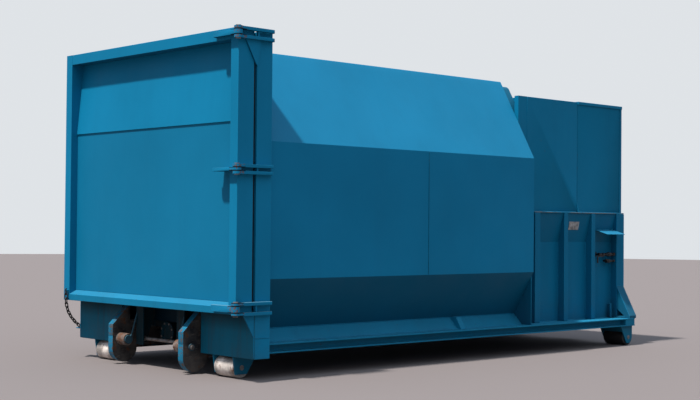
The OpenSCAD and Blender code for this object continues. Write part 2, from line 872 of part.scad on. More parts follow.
// the container's end: a thin plate with the ram's throat cut in it, and a folded ring behind the plate whose
// lip carries the packer's walls. The ring follows the skin's slope, with rounded corners at the roof.
ring_half = wall_y + 14;
foot_y = wall_y - 20;
slope_turn = acos(-inward(2)[1]);

// half outline of the ring, t inside the skin and at most w from the middle
function ring_side(t, w) = let (a = inside(2, t), b = inside(3, t), c = inside(3, t + 60),
    z = a[1] + (b[1] - a[1]) * (-w - a[0]) / (b[0] - a[0]))
    concat([[-w, rail_top], [-w, z]],
        [for (i = [6 : -1 : 0]) c + 60 * [-sin(slope_turn * i / 6), cos(slope_turn * i / 6)]]);

// an outline from the half on the hinge side's hand
function both_halves(side) = concat(side,
    [for (i = [len(side) - 1 : -1 : 0]) [-side[i][0], side[i][1]]]);

module bulkhead() {
    lap = 27;
    throat = [[-ram_half - 5, chamber_z], [-ram_half - 5, throat_z], [ram_half + 5, throat_z],
        [ram_half + 5, chamber_z]];
    foot = [[foot_y, rail_top], [foot_y, floor_z], [-foot_y, floor_z], [-foot_y, rail_top]];
    plate_side = [[-side_half + lap, rail_top], inside(2, lap), inside(3, lap)];
    color(blue) placed() {
        along_x([container_len, container_len + 8]) difference() {
            polygon(concat(both_halves(plate_side), foot));
            polygon(throat);
        }
        along_x([container_len + 8, bulk_back]) {
            difference() {
                polygon(both_halves(ring_side(lap + 8, ring_half)));
                polygon(concat([[-ring_half + 8, 0]], both_halves(ring_side(lap + 16, ring_half - 8)),
                    [[ring_half - 8, 0]]));
            }
            difference() {
                polygon([[-ram_half - 13, chamber_z], [-ram_half - 13, throat_z + 8],
                    [ram_half + 13, throat_z + 8], [ram_half + 13, chamber_z]]);
                polygon(throat);
            }
        }
        along_x([bulk_back - 8, bulk_back]) difference() {
            polygon(both_halves(ring_side(lap + 8, ring_half)));
            polygon(concat([[-ring_half + 20, 0]], both_halves(ring_side(lap + 28, ring_half - 20)),
                [[ring_half - 20, 0]]));
        }
    }
}

// a packer wall: upright below, leaning out under the deck
module packer_wall() {
    along_x([bulk_back, packer_end - deck_t]) polygon([[-wall_y, rail_top], [-wall_y, lean_z],
        [-lean_y, deck_z - deck_t], [-lean_y + wall_t, deck_z - deck_t], [-wall_y + wall_t, lean_z],
        [-wall_y + wall_t, rail_top]]);
}

module packer_hinge_wall() {
    color(blue) placed() packer_wall();
}

module packer_lock_wall() {
    color(blue) placed() lock_side() packer_wall();
}

// one stiffener: a folded channel that stays upright while the wall leans out behind it
module stiffener(x, w) {
    t = 5;
    difference() {
        along_x([x, x + w]) polygon([[-packer_half, rail_top], [-packer_half, deck_z - deck_t],
            [-lean_y, deck_z - deck_t], [-wall_y, lean_z], [-wall_y, rail_top]]);
        block([x + t, x + w - t], [-packer_half + t, -wall_y + 1], [rail_top - 1, deck_z]);
    }
}

// the brace that carries the last stiffener out to the rail's edge: a sloped strip over a front plate with a
// three-cornered hole and a whole back plate, and a small angle beside it
module foot_brace() {
    x = packer_end - 124;
    w = 115;
    z = rail_top + 321;
    t = 8;
    out = rail_half - 2;
    along_x([x, x + w]) polygon([[-packer_half, z], [-out, rail_top + 26], [-out, rail_top],
        [-out + 9, rail_top], [-packer_half, z - 20]]);
    along_x([x, x + t]) polygon([[-packer_half, z - 20], [-out + 9, rail_top], [-packer_half, rail_top],
        [-packer_half, rail_top + 16], [-packer_half - 95, rail_top + 22], [-packer_half, rail_top + 92]]);
    along_x([x + w - t, x + w])
        polygon([[-packer_half, z - 20], [-out + 9, rail_top], [-packer_half, rail_top]]);
    block([x - 76, x - 44], [-packer_half + 20, -packer_half + 26], [rail_top, rail_top + 140]);
    block([x - 50, x - 44], [-packer_half + 26, -wall_y], [rail_top, rail_top + 140]);
}

module foot_braces() {
    color(blue) placed() both_sides() foot_brace();
}

module packer_stiffeners() {
    color(blue) placed() both_sides() {
        stiffener(wall_x, 74);
        stiffener(second_x, stiffener_w);
        stiffener(third_x, stiffener_w);
        stiffener(packer_end - 124, 112);
    }
}

// a bare plate for the maker's data, flat on the leaning wall
module label_plate() {
    x = second_x + stiffener_w + 62;
    z = [deck_z - 173, deck_z - 94];
    color(steel) placed() along_x([x, x + 156]) polygon([[-wall_at(z[0]), z[0]], [-wall_at(z[1]), z[1]],
        [-wall_at(z[1]) - 2, z[1]], [-wall_at(z[0]) - 2, z[0]]]);
}

module packer_floor() {
    color(blue) placed() {
        block([container_len + 8, packer_end - deck_t], [-wall_y + wall_t, wall_y - wall_t],
            [floor_z, chamber_z]);
        for (s = [-1, 1]) block([container_len + 8, packer_end - deck_t], [s * 600 - 40, s * 600 + 40],
            [chamber_z, chamber_z + 20]);
    }
}

// the deck: a flat plate with the mouth of the charge chamber cut in it
module packer_deck() {
    color(blue) placed() difference() {
        block([bulk_back, packer_end - 5], [-packer_half, packer_half], [deck_z - deck_t, deck_z]);
        block([hopper_x + 25, mouth_back], [-ram_half, ram_half], [0, roof_z]);
    }
}

module rear_wall() {
    color(blue) placed() difference() {
        block([packer_end - deck_t, packer_end], [-packer_half, packer_half], [rail_top, deck_z - deck_t]);
        both_sides() block([0, packer_end], [-skid_out, -skid_in], [0, skid_z + skid_h]);
    }
}

// four upright sheets round the mouth, open at the top, with a lean-back plate on the cabinet's side
module hopper_walls() {
    rib_h = 105;
    color(blue) placed() {
        difference() {
            block([hopper_x, hopper_back], [-hopper_half, hopper_half], [deck_z, hopper_top]);
            block([hopper_x + skin, hopper_back - skin], [-hopper_half + skin, hopper_half - skin],
                [0, roof_z]);
        }
        along_y([-hopper_half + skin, hopper_half - skin]) polygon([[hopper_back - skin, deck_z + 350],
            [mouth_back, deck_z], [mouth_back + 6, deck_z], [hopper_back - skin, deck_z + 340]]);
        both_sides() along_x([hopper_back - 4, hopper_back + 4])
            polygon([[-hopper_half, deck_z], [-hopper_half - 24, deck_z], [-hopper_half, deck_z + rib_h]]);
    }
}

cabinet_top = hopper_top + 6;
door_gap = 3;
hatch_x = [hopper_back + 75, packer_end - 75];
hatch_z = [deck_z + 90, cabinet_top - 110];

// the machine cabinet over the ram, with the service opening in its lock side
module cabinet() {
    x = [hopper_back + 4.5, packer_end];
    rim = 30;
    color(blue) placed() difference() {
        union() {
            block(x, [-hopper_half, hopper_half], [deck_z, cabinet_top]);
            block(x, [-hopper_half - 12, hopper_half + 12], [cabinet_top - rim, cabinet_top]);
            both_sides() block([packer_end - 36, packer_end], [-hopper_half - 6, -hopper_half + 1],
                [deck_z, cabinet_top - rim]);
        }
        block([x[0] + skin, x[1] - skin], [-hopper_half + skin, hopper_half - skin],
            [deck_z - 1, cabinet_top - skin]);
        block(hatch_x, [hopper_half - skin - 1, hopper_half + 20], hatch_z);
    }
}

hatch_pin = [hatch_x[1] + 28, hopper_half + 16];

hatch_eyes = [hatch_z[0] + 100, hatch_z[1] - 160];

// lugs and pins that carry the service door's eyes
module cabinet_hinges() {
    y = hatch_pin[1];
    color(steel) placed() for (h = hatch_eyes) {
        bar_z(hatch_pin[0], y, [h - 14, h + 74], 5);
        for (z = [h - 12, h + 61]) {
            block([hatch_pin[0] - 9, hatch_pin[0] + 9], [hopper_half, y], [z, z + 11]);
            bar_z(hatch_pin[0], y, [z, z + 11], 9);
        }
    }
}

// a plain folded door with two hinge eyes and a finger pull
module service_door() {
    t = 3;
    lap = 20;
    y = hopper_half + 1;
    x = [hatch_x[0] - lap, hatch_x[1] + lap - 4];
    z = [hatch_z[0] - lap, hatch_z[1] + lap];
    color(blue) placed() {
        difference() {
            block(x, [y, y + 22], z);
            block([x[0] + t, x[1] - t], [y - 1, y + 22 - t], [z[0] + t, z[1] - t]);
        }
        for (h = hatch_eyes) {
            difference() {
                bar_z(hatch_pin[0], hatch_pin[1], [h, h + 60], 9);
                bar_z(hatch_pin[0], hatch_pin[1], [h - 1, h + 61], 5 + pin_fit);
            }
            block([x[1] - 4, hatch_pin[0] - 7], [y + 12, y + 18], [h, h + 60]);
        }
        block([x[0] + 40, x[0] + 56], [y + 22, y + 44], [(z[0] + z[1]) / 2 - 60, (z[0] + z[1]) / 2 + 60]);
    }
}

module rain_hood() {
    x = [packer_end - 412, packer_end - 124];
    z = deck_z - 172;
    out = packer_half + 100;
    color(blue) placed() along_x(x)
        polygon([[-wall_at(z + 4), z + 4], [-out, z - 40], [-out, z - 46], [-wall_at(z - 4), z - 4]]);
}

// a pipe with screwed unions on two stand-offs, a bent handle at its end and a quick coupling under it
module hose_couplings() {
    x = packer_end - 396;
    y = -wall_y - 52;
    z = 905;
    color(dark) placed() {
        translate([x, y, z]) rotate([0, 90, 0]) cylinder(h = 264, r = 10);
        for (c = [0, 62, 118, 190, 236])
            translate([x + c, y, z]) rotate([0, 90, 0]) cylinder(h = 28, r = 17, $fn = 6);
        for (c = [20, 230]) bar_y(x + c, z, [y, -wall_y], 9);
        for (c = [20, 230]) bar_y(x + c, z, [-wall_y - 8, -wall_y], 22);
        translate([x - 6, y - 10, z - 32]) {
            rotate([90, 0, 0]) rotate([0, 0, 90]) rotate_extrude(angle = 90) translate([16, 0]) circle(r = 7);
            translate([0, 0, 16]) rotate([0, 90, 0]) cylinder(h = 84, r = 7);
            translate([-16, 0, -52]) cylinder(h = 52, r = 7);
        }
        translate([x + 124, y, z - 66]) rotate([0, 90, 0]) cylinder(h = 84, r = 14);
        translate([x + 124, y, z - 66]) rotate([0, 90, 0]) cylinder(h = 140, r = 9);
        translate([x + 240, y, z - 66]) rotate([0, 90, 0]) cylinder(h = 20, r = 13);
        bar_y(x + 160, z - 66, [y, -wall_y], 10);
    }
}

// the power unit in the cabinet: a tank with the motor and valve block on it
module power_unit() {
    x = [hopper_back + 120, packer_end - 140];
    y = [-330, 330];
    z = deck_z;
    color(dark) placed() {
        block(x, y, [z, z + 300]);
        translate([x[0] + 60, -120, z + 420]) rotate([0, 90, 0]) cylinder(h = 300, r = 105);
        block([x[0] + 90, x[0] + 330], [-200, -40], [z + 300, z + 330]);
        block([x[0] + 120, x[0] + 280], [110, 260], [z + 300, z + 420]);
    }
}

// ---- ram and its two-stage cylinder

ram_x = mouth_back + 8;
rod_z = ram_low + ram_h / 2;
barrel_x = [ram_x + 116, packer_end - deck_t];

// a hollow box open at its back, with the rod fixed behind its face
module ram() {
    t = 12;
    color(blue) placed() {
        difference() {
            block([ram_x, ram_x + ram_len], [-ram_half, ram_half], [ram_low, ram_top]);
            block([ram_x + t, ram_x + ram_len + 1], [-ram_half + t, ram_half - t], [ram_low + t, ram_top - t]);
        }
        translate([ram_x + t, 0, rod_z]) rotate([0, 90, 0]) cylinder(h = 36, r = rod_r + 30);
        translate([ram_x + t, 0, rod_z]) rotate([0, 90, 0]) cylinder(h = ram_len - 60 - t, r = rod_r);
    }
}

module ram_cylinder() {
    color(dark) placed() difference() {
        translate([barrel_x[0], 0, rod_z]) rotate([0, 90, 0])
            cylinder(h = barrel_x[1] - barrel_x[0], r = barrel_r);
        translate([barrel_x[0] - 1, 0, rod_z]) rotate([0, 90, 0])
            cylinder(h = barrel_x[1] - barrel_x[0] - 19, r = stage_r + slide_fit);
    }
}

module cylinder_stage() {
    x = [ram_x + 84, barrel_x[1] - 22];
    color(steel) placed() difference() {
        translate([x[0], 0, rod_z]) rotate([0, 90, 0]) cylinder(h = x[1] - x[0], r = stage_r);
        translate([x[0] - 1, 0, rod_z]) rotate([0, 90, 0]) cylinder(h = x[1] - x[0] + 2, r = rod_r + slide_fit);
    }
}

// ---- hook frame on the rear wall: two uprights, two cheeks and the bar that the truck's hook takes

module hook_frame() {
    in_y = hook_free / 2;
    cheek = 20;
    color(blue) placed() {
        both_sides() {
            block([packer_end, packer_end + 80], [-in_y - cheek - 80, -in_y - cheek], [skid_z, hook_z + 90]);
            along_y([-in_y - cheek, -in_y]) {
                translate([hook_x, hook_z]) circle(r = hook_plate_r);
                polygon([[packer_end, hook_z - 240], [packer_end, hook_z + 90], [packer_end + 60, hook_z + 90],
                    [hook_x + hook_plate_r * 0.6, hook_z + hook_plate_r * 0.8],
                    [hook_x + hook_plate_r * 0.8, hook_z - hook_plate_r * 0.6],
                    [packer_end + 60, hook_z - 240]]);
            }
            block([packer_end, packer_end + 80], [-skid_out, -in_y - cheek - 80], [skid_z, rail_top + 60]);
        }
        bar_y(hook_x, hook_z, [-in_y - 1, in_y + 1], hook_r);
    }
}

roof_panel();
hinge_side_panel();
lock_side_panel();
floor_panel();
end_posts();
header_beam();
sill_beam();
frame_corner_plates();
side_rails();
skids();
floor_bearers();
end_aprons();
hinge_brackets();
hinge_pins();
door_hinge_stile();
door_lock_stile();
door_top_beam();
door_bottom_beam();
door_upper_panel();
door_lower_panel();
door_back_ribs();
door_hinge_leaves();
door_seal();
strike_pins();
keeper_chain();
chain_shelf();
lock_shaft();
lock_bearings();
hinge_side_nose_roller();
lock_side_nose_roller();
nose_pins();
nose_shaft();
nose_hangers();
roller_brackets();
roller_axles();
hinge_side_front_roller();
lock_side_front_roller();
hinge_side_rear_roller();
lock_side_rear_roller();
drain_pipe();
bulkhead();
packer_hinge_wall();
packer_lock_wall();
packer_stiffeners();
foot_braces();
label_plate();
packer_floor();
packer_deck();
rear_wall();
hopper_walls();
cabinet();
cabinet_hinges();
service_door();
rain_hood();
hose_couplings();
power_unit();
ram();
ram_cylinder();
cylinder_stage();
hook_frame();
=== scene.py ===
# %% [markdown]
# # A self-contained compactor
# A compactor of this kind is a steel waste container with its own press: an eight-sided body on skids, a heavy
# door hung on one side, and a packer head with a hopper at the other end. The imported model gives every part its
# true place and size. The cells below add what makes painted steel look real: rounded edges, slightly wavy
# sheets, weld beads, worn rollers, bolts, couplings, and finishes with dust, scuffs and rust.
# Some finishes also carry painted shade and sheen.

# %% Load the fixed frame
import json
import math
import bmesh
import bpy
import numpy as np
from mathutils import Matrix, Vector


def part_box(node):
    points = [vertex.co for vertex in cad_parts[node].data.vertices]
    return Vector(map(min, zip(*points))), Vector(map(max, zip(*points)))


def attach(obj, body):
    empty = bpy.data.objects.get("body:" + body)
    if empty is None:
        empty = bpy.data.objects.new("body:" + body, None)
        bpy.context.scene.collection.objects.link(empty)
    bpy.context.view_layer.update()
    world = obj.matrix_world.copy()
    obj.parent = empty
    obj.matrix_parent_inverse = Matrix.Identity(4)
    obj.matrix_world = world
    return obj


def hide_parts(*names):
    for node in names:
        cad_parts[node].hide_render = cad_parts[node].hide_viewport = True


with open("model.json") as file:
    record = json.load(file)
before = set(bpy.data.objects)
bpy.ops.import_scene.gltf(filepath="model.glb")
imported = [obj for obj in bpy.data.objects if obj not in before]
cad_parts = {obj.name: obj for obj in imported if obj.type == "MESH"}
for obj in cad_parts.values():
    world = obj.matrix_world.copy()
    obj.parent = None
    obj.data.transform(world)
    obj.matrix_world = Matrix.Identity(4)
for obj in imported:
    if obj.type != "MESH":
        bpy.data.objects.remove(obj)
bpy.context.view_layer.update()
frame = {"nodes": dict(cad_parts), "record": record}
face_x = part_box("door_hinge_stile")[0][0]
print("door face at x =", round(face_x, 3))

# %% [markdown]
# ## Where the viewer stands
# A long lens from about ten metres, a little over a metre above the ground and turned almost level, keeps the
# door upright and the far end tall. The camera is placed by its own three directions: where it looks, what is to
# its right, and what is up. A small roll tips the horizon by half a degree.

# %% Camera
def camera_matrix(place, yaw, pitch, roll):
    """Look along (cos yaw cos pitch, sin yaw cos pitch, sin pitch), then turn right and up by roll about it."""
    look = Vector((math.cos(yaw) * math.cos(pitch), math.sin(yaw) * math.cos(pitch), math.sin(pitch)))
    right = Vector((math.sin(yaw), -math.cos(yaw), 0.0))
    up = right.cross(look)
    r = right * math.cos(roll) + up * math.sin(roll)
    u = up * math.cos(roll) - right * math.sin(roll)
    turn = Matrix((r, u, -look)).transposed().to_4x4()
    return Matrix.Translation(place) @ turn


film_width = 36
lens_per_width = 1297.45 / 700
camera_data = bpy.data.cameras.new("camera")
camera_data.lens = lens_per_width * film_width
camera_data.sensor_width = film_width
camera = bpy.data.objects.new("camera", camera_data)
bpy.context.scene.collection.objects.link(camera)
camera.matrix_world = camera_matrix(Vector((face_x - 5.868, -8.791, 1.160)),
                                    math.radians(47.24), math.radians(1.18), math.radians(0.504))
bpy.context.scene.camera = camera
print("lens", round(camera_data.lens, 1), "mm")

# %% [markdown]
# ## Light and floor
# One strong key light stands high on the left. Its rays almost graze the long side, while the door and the
# sloped roof sheets take the light square on. A weak and very broad fill from the hinge side lifts the long side
# evenly. The surroundings are brighter overhead than at the horizon, as under an open sky, which is what
# separates the upper sheets from the undercut ones. The floor is a plain disc that catches the shadow and throws
# some light back up.

# %% The key light and the fill
def sun(name, energy, degrees, colour, direction):
    """Sun light that shines along direction; degrees is how wide it looks, so how soft its shadows are."""
    data = bpy.data.lights.new(name, "SUN")
    data.energy = energy
    data.angle = math.radians(degrees)
    data.color = colour
    light = bpy.data.objects.new(name, data)
    light.rotation_euler = Vector(direction).to_track_quat("-Z", "Y").to_euler()
    bpy.context.scene.collection.objects.link(light)
    print(name, "light", energy, "spread over", degrees, "degrees")


sun("key", 6.0, 3.0, (1.0, 0.97, 0.93), (0.412, -0.018, -0.911))
sun("fill", 0.62, 70.0, (0.88, 0.94, 1.0), (0.02, 0.60, -0.80))
bpy.context.scene.view_settings.view_transform = "Standard"

# %% Surroundings, brighter overhead
world = bpy.data.worlds.new("surroundings")
world.use_nodes = True
bpy.context.scene.world = world
wn, wl = world.node_tree.nodes, world.node_tree.links
height = wn.new("ShaderNodeSeparateXYZ")
wl.new(wn.new("ShaderNodeTexCoord").outputs["Generated"], height.inputs["Vector"])
dome = wn.new("ShaderNodeValToRGB")
dome.color_ramp.elements[0].color = (0.25, 0.275, 0.325, 1)
dome.color_ramp.elements[1].color = (0.66, 0.79, 0.97, 1)
wl.new(height.outputs["Z"], dome.inputs["Fac"])
wl.new(dome.outputs["Color"], wn["Background"].inputs["Color"])
backdrop = wn.new("ShaderNodeBackground")
backdrop.inputs["Color"].default_value = (0.74, 0.77, 0.80, 1)
switch = wn.new("ShaderNodeMixShader")
wl.new(wn.new("ShaderNodeLightPath").outputs["Is Camera Ray"], switch.inputs["Fac"])
wl.new(wn["Background"].outputs["Background"], switch.inputs[1])
wl.new(backdrop.outputs["Background"], switch.inputs[2])
wl.new(switch.outputs["Shader"], wn["World Output"].inputs["Surface"])
print("dome from", [round(v, 2) for v in dome.color_ramp.elements[0].color[:3]], "at the horizon")

# %% Floor
floor_radius, floor_steps, below_ground = 40, 96, 0.0005
angles = np.linspace(0, 2 * math.pi, floor_steps, endpoint=False)
floor_mesh = bpy.data.meshes.new("floor")
floor_mesh.from_pydata([(floor_radius * math.cos(a), floor_radius * math.sin(a), -below_ground) for a in angles],
                       [], [list(range(floor_steps))])
floor = bpy.data.objects.new("floor", floor_mesh)
bpy.context.scene.collection.objects.link(floor)
floor_material = bpy.data.materials.new("pale_floor")
floor_material.use_nodes = True
floor_shader = floor_material.node_tree.nodes["Principled BSDF"]
floor_shader.inputs["Base Color"].default_value = (0.172, 0.150, 0.146, 1)
floor_shader.inputs["Roughness"].default_value = 0.9
floor_shader.inputs["Specular IOR Level"].default_value = 0.1
floor_mesh.materials.append(floor_material)
print("floor disc", floor_radius, "m in radius")

# %% [markdown]
# ## Painted steel
# The whole machine is sprayed in one teal blue. Real paint of this kind is never one flat colour: it fades in
# broad clouds, rain draws thin streaks down it, dust gathers low down, and the film has a faint orange-peel
# skin. Each of these is one noise at its own scale, read from the object's own coordinates, so nothing slides.
# Some darker copies of the blue, and masks by height and by the way a face looks, paint shade and sheen onto it.

# %% Helpers for materials
def start_material(name):
    """A material, its node tree, its shader and the object's own coordinates."""
    m = bpy.data.materials.new(name)
    m.use_nodes = True
    tree = m.node_tree
    return m, tree, tree.nodes["Principled BSDF"], tree.nodes.new("ShaderNodeTexCoord").outputs["Object"]


def stretched(tree, place, scale):
    """The coordinates multiplied by scale along x, y and z."""
    mapping = tree.nodes.new("ShaderNodeMapping")
    mapping.inputs["Scale"].default_value = scale
    tree.links.new(place, mapping.inputs["Vector"])
    return mapping.outputs["Vector"]


def spread(tree, value, low, high, start=0.0, end=1.0):
    """Straight-line map of a value: low gives start and high gives end."""
    node = tree.nodes.new("ShaderNodeMapRange")
    for socket, number in zip(("From Min", "From Max", "To Min", "To Max"), (low, high, start, end)):
        node.inputs[socket].default_value = number
    tree.links.new(value, node.inputs["Value"])
    return node.outputs["Result"]


def cloud(tree, place, scale, detail=4.0, rough=0.55, low=0.35, high=0.65):
    """Noise of one scale, spread so that low becomes 0 and high becomes 1."""
    noise = tree.nodes.new("ShaderNodeTexNoise")
    noise.inputs["Scale"].default_value = scale
    noise.inputs["Detail"].default_value = detail
    noise.inputs["Roughness"].default_value = rough
    tree.links.new(place, noise.inputs["Vector"])
    return spread(tree, noise.outputs["Fac"], low, high)


def calculated(tree, operation, *values):
    """Result of one operation; each value is a socket or a number."""
    node = tree.nodes.new("ShaderNodeMath")
    node.operation = operation
    for socket, value in zip(node.inputs, values):
        if isinstance(value, (int, float)):
            socket.default_value = value
        else:
            tree.links.new(value, socket)
    return node.outputs["Value"]


def times(tree, a, b):
    """Product of two values; each is a socket or a number."""
    return calculated(tree, "MULTIPLY", a, b)


def mixed(tree, factor, a, b):
    """Colour a where factor is 0 and b where it is 1; each colour is a socket or three numbers."""
    node = tree.nodes.new("ShaderNodeMix")
    node.data_type = "RGBA"
    tree.links.new(factor, node.inputs[0])
    for socket, value in ((node.inputs[6], a), (node.inputs[7], b)):
        if isinstance(value, tuple):
            socket.default_value = (*value, 1)
        else:
            tree.links.new(value, socket)
    return node.outputs[2]


def part_along(tree, vector, axis):
    """The X, Y or Z part of a vector."""
    split = tree.nodes.new("ShaderNodeSeparateXYZ")
    tree.links.new(vector, split.inputs["Vector"])
    return split.outputs[axis]


def low_down(tree, place, bottom, top):
    """1 at height bottom and below, fading to 0 at height top."""
    return spread(tree, part_along(tree, place, "Z"), bottom, top, 1.0, 0.0)


def relief(tree, shader, height, strength, distance):
    """Bump from one height, given to the shader's normal."""
    bump = tree.nodes.new("ShaderNodeBump")
    bump.inputs["Strength"].default_value = strength
    bump.inputs["Distance"].default_value = distance
    tree.links.new(height, bump.inputs["Height"])
    tree.links.new(bump.outputs["Normal"], shader.inputs["Normal"])


# %% Faces that look down and faces that look up, for painted shade and sheen
def facing(tree, axis):
    """The X, Y or Z part of the direction a face looks in."""
    return part_along(tree, tree.nodes.new("ShaderNodeNewGeometry").outputs["Normal"], axis)


def underside(tree):
    """1 on faces that lean out over the ground, 0 on upright ones: the normal's z from -0.15 down to -0.40."""
    return spread(tree, facing(tree, "Z"), -0.40, -0.15, 1.0, 0.0)


def upside_dust_and_sheen(tree, most):
    """Share of pale dust with painted sheen: none on upright faces, and most of it where the normal's z reaches 1."""
    return spread(tree, facing(tree, "Z"), 0.20, 1.0, 0.0, most)


# %% Worn rings round the hinge pins
def near_pin(tree, place, pin, r0, r1):
    """1 within r0 of the upright line through pin, 0 beyond r1, whatever the height."""
    vector = place
    for operation, numbers in (("SUBTRACT", (*pin, 0)), ("MULTIPLY", (1, 1, 0))):
        node = tree.nodes.new("ShaderNodeVectorMath")
        node.operation = operation
        node.inputs[1].default_value = numbers
        tree.links.new(vector, node.inputs[0])
        vector = node.outputs["Vector"]
    reach = tree.nodes.new("ShaderNodeVectorMath")
    reach.operation = "LENGTH"
    tree.links.new(vector, reach.inputs[0])
    return spread(tree, reach.outputs["Value"], r0, r1, 1.0, 0.0)


def near_levels(tree, place, levels, r0, r1):
    """1 within r0 of any of the heights, 0 beyond r1."""
    height = part_along(tree, place, "Z")
    total = None
    for level in levels:
        away = calculated(tree, "ABSOLUTE", calculated(tree, "SUBTRACT", height, level))
        ring = spread(tree, away, r0, r1, 1.0, 0.0)
        total = ring if total is None else calculated(tree, "MAXIMUM", total, ring)
    return total


# %% The blue paint, its worn edges, and its painted shade and sheen
def make_paint(name, base, dust=0.35, chips=0.0, dirt=0.35, worn=0.0, underside_shade=0.55, streaks=0.0, shade_below=None,
               shade_strength=0.72, dust_and_sheen=0.06, shaded_from=None, pin=None, levels=()):
    """Base colour, faded in clouds, streaked by rain, dusty below.

    chips are rust spots, worn is rubbed steel, grime darkens faces that look down with painted shade,
    streaks are brown runs, shade_below is a height below which painted shade makes the paint much darker and
    oil is its strength, settled is the pale dust and painted sheen on faces that look up, shaded_from is a
    height above which the door's shadow is painted on, and pin and levels put black gaps and rust where the
    hinge plates turn on each other.
    """
    m, tree, shader, place = start_material(name)
    pale = tuple(min(1.0, c * 1.06 + 0.0005) for c in base)
    deep = tuple(c * 0.94 for c in base)
    colour = mixed(tree, cloud(tree, place, 0.9), deep, pale)
    rain = cloud(tree, stretched(tree, place, (9, 9, 0.5)), 1.0, low=0.50, high=0.85)
    colour = mixed(tree, times(tree, rain, dirt), colour, tuple(c * 0.55 + 0.003 for c in base))
    powder = times(tree, low_down(tree, place, 0.05, 0.60), cloud(tree, place, 5.0))
    colour = mixed(tree, times(tree, powder, dust), colour, (0.040, 0.042, 0.042))
    if streaks > 0:
        runs = cloud(tree, stretched(tree, place, (26, 26, 1.6)), 1.0, 6.0, 0.6, 0.52, 0.72)
        colour = mixed(tree, times(tree, runs, streaks), colour, (0.050, 0.028, 0.018))
    if worn > 0:
        rubbed = cloud(tree, stretched(tree, place, (2, 8, 8)), 3.0, 7.0, 0.65,
                       0.68 - 0.25 * worn, 0.76 - 0.25 * worn)
        colour = mixed(tree, rubbed, colour, (0.16, 0.145, 0.13))
    if chips > 0:
        spots = cloud(tree, place, 55.0, 5.0, 0.6, 0.72 - chips * 0.16, 0.74 - chips * 0.16)
        colour = mixed(tree, spots, colour, (0.075, 0.032, 0.018))
    underside_shade_colour = tuple(c * 0.30 for c in base)
    # Faces that look down turn towards a dark copy of the base: painted shade.
    colour = mixed(tree, times(tree, underside(tree), underside_shade), colour, underside_shade_colour)
    # Below the given height the paint turns far darker: painted shade, as on a rail's web under its flange or the sill
    # under the door.
    if shade_below is not None:
        painted_low_shade = low_down(tree, place, shade_below - 0.004, shade_below)
        colour = mixed(tree, times(tree, painted_low_shade, shade_strength), colour,
                       tuple(c * (0.14 if shade_strength < 0.9 else 0.02) for c in base))
    # Above the given height the paint fades to a dark blue-black: the door's shadow painted on.
    if shaded_from is not None:
        below = low_down(tree, place, shaded_from, shaded_from + 0.13)
        above = calculated(tree, "SUBTRACT", 1.0, below)
        colour = mixed(tree, times(tree, above, 0.85), colour, (0.004, 0.018, 0.024))
    # Faces that look up turn paler: pale dust with a painted sheen.
    if dust_and_sheen > 0:
        colour = mixed(tree, upside_dust_and_sheen(tree, dust_and_sheen), colour, (0.26, 0.33, 0.28))
    if pin is not None:
        eye = near_pin(tree, place, pin, 0.066, 0.074)
        rust = cloud(tree, place, 46.0, 6.0, 0.65, 0.53, 0.57)
        colour = mixed(tree, times(tree, times(tree, eye, rust), 0.8), colour,
                       (0.130, 0.060, 0.034))
        gap = times(tree, eye, near_levels(tree, place, levels, 0.0038, 0.0060))
        colour = mixed(tree, times(tree, gap, 0.94), colour, (0.003, 0.004, 0.005))
    tree.links.new(colour, shader.inputs["Base Color"])
    tree.links.new(spread(tree, cloud(tree, place, 3.0), 0, 1, 0.42, 0.62), shader.inputs["Roughness"])
    shader.inputs["Specular IOR Level"].default_value = 0.07
    relief(tree, shader, cloud(tree, place, 260.0, 2.0), 0.05, 0.001)
    return m


BLUE = (0.0030, 0.160, 0.298)
paint = make_paint("blue_paint", BLUE, dirt=0.12)
paint_panel = make_paint("blue_paint_panels", (0.0035, 0.141, 0.262), dirt=0.10)
# The skin's faces that look down, the undercut, take more painted shade.
paint_skin = make_paint("blue_paint_skin", (0.0028, 0.152, 0.287), dirt=0.10, underside_shade=0.72)
# The rails turn darker below the top flange: painted shade on the web.
paint_rail = make_paint("blue_paint_rails", (0.0030, 0.160, 0.285), dust=0.10, chips=0.20, dirt=0.3,
                        shade_below=0.262, shade_strength=0.15, dust_and_sheen=0.04)
# The aprons turn dark towards their top: the door's shadow painted on, with rain streaks and rust spots as well.
paint_low = make_paint("blue_paint_low", (0.0030, 0.118, 0.195), dust=0.30, chips=0.30, dirt=0.6, streaks=0.35,
                       shaded_from=0.36)
paint_bracket = make_paint("blue_paint_brackets", (0.0030, 0.110, 0.190), dust=0.25, chips=0.24, dirt=0.5)
# Near-black blue for the hangers, drain pipe and floor bearers: painted shade under the body, with dirt.
paint_under_shade = make_paint("blue_paint_under_shade", (0.0035, 0.020, 0.028), dust=0.3, chips=0.46, dirt=0.8, streaks=0.6)
# The sill turns almost black below 0.5 m: painted shade under the door.
paint_sill = make_paint("blue_paint_sill", BLUE, dirt=0.3, shade_below=0.500, shade_strength=0.95)
paint_beam = make_paint("blue_paint_door_beam", (0.0035, 0.146, 0.264), dirt=0.3, chips=0.14, dust_and_sheen=0.05)
# A darker copy of the blue for the packer head, hopper, cabinet and hood: painted shade.
paint_head_shade = make_paint("blue_paint_head_shade", (0.0022, 0.145, 0.268), dirt=0.20, chips=0.05)
# A still darker copy for the packer's side walls and stiffeners: painted shade in the recess under the deck.
paint_recess_shade = make_paint("blue_paint_recess_shade", (0.0020, 0.118, 0.222), dirt=0.35, chips=0.10)
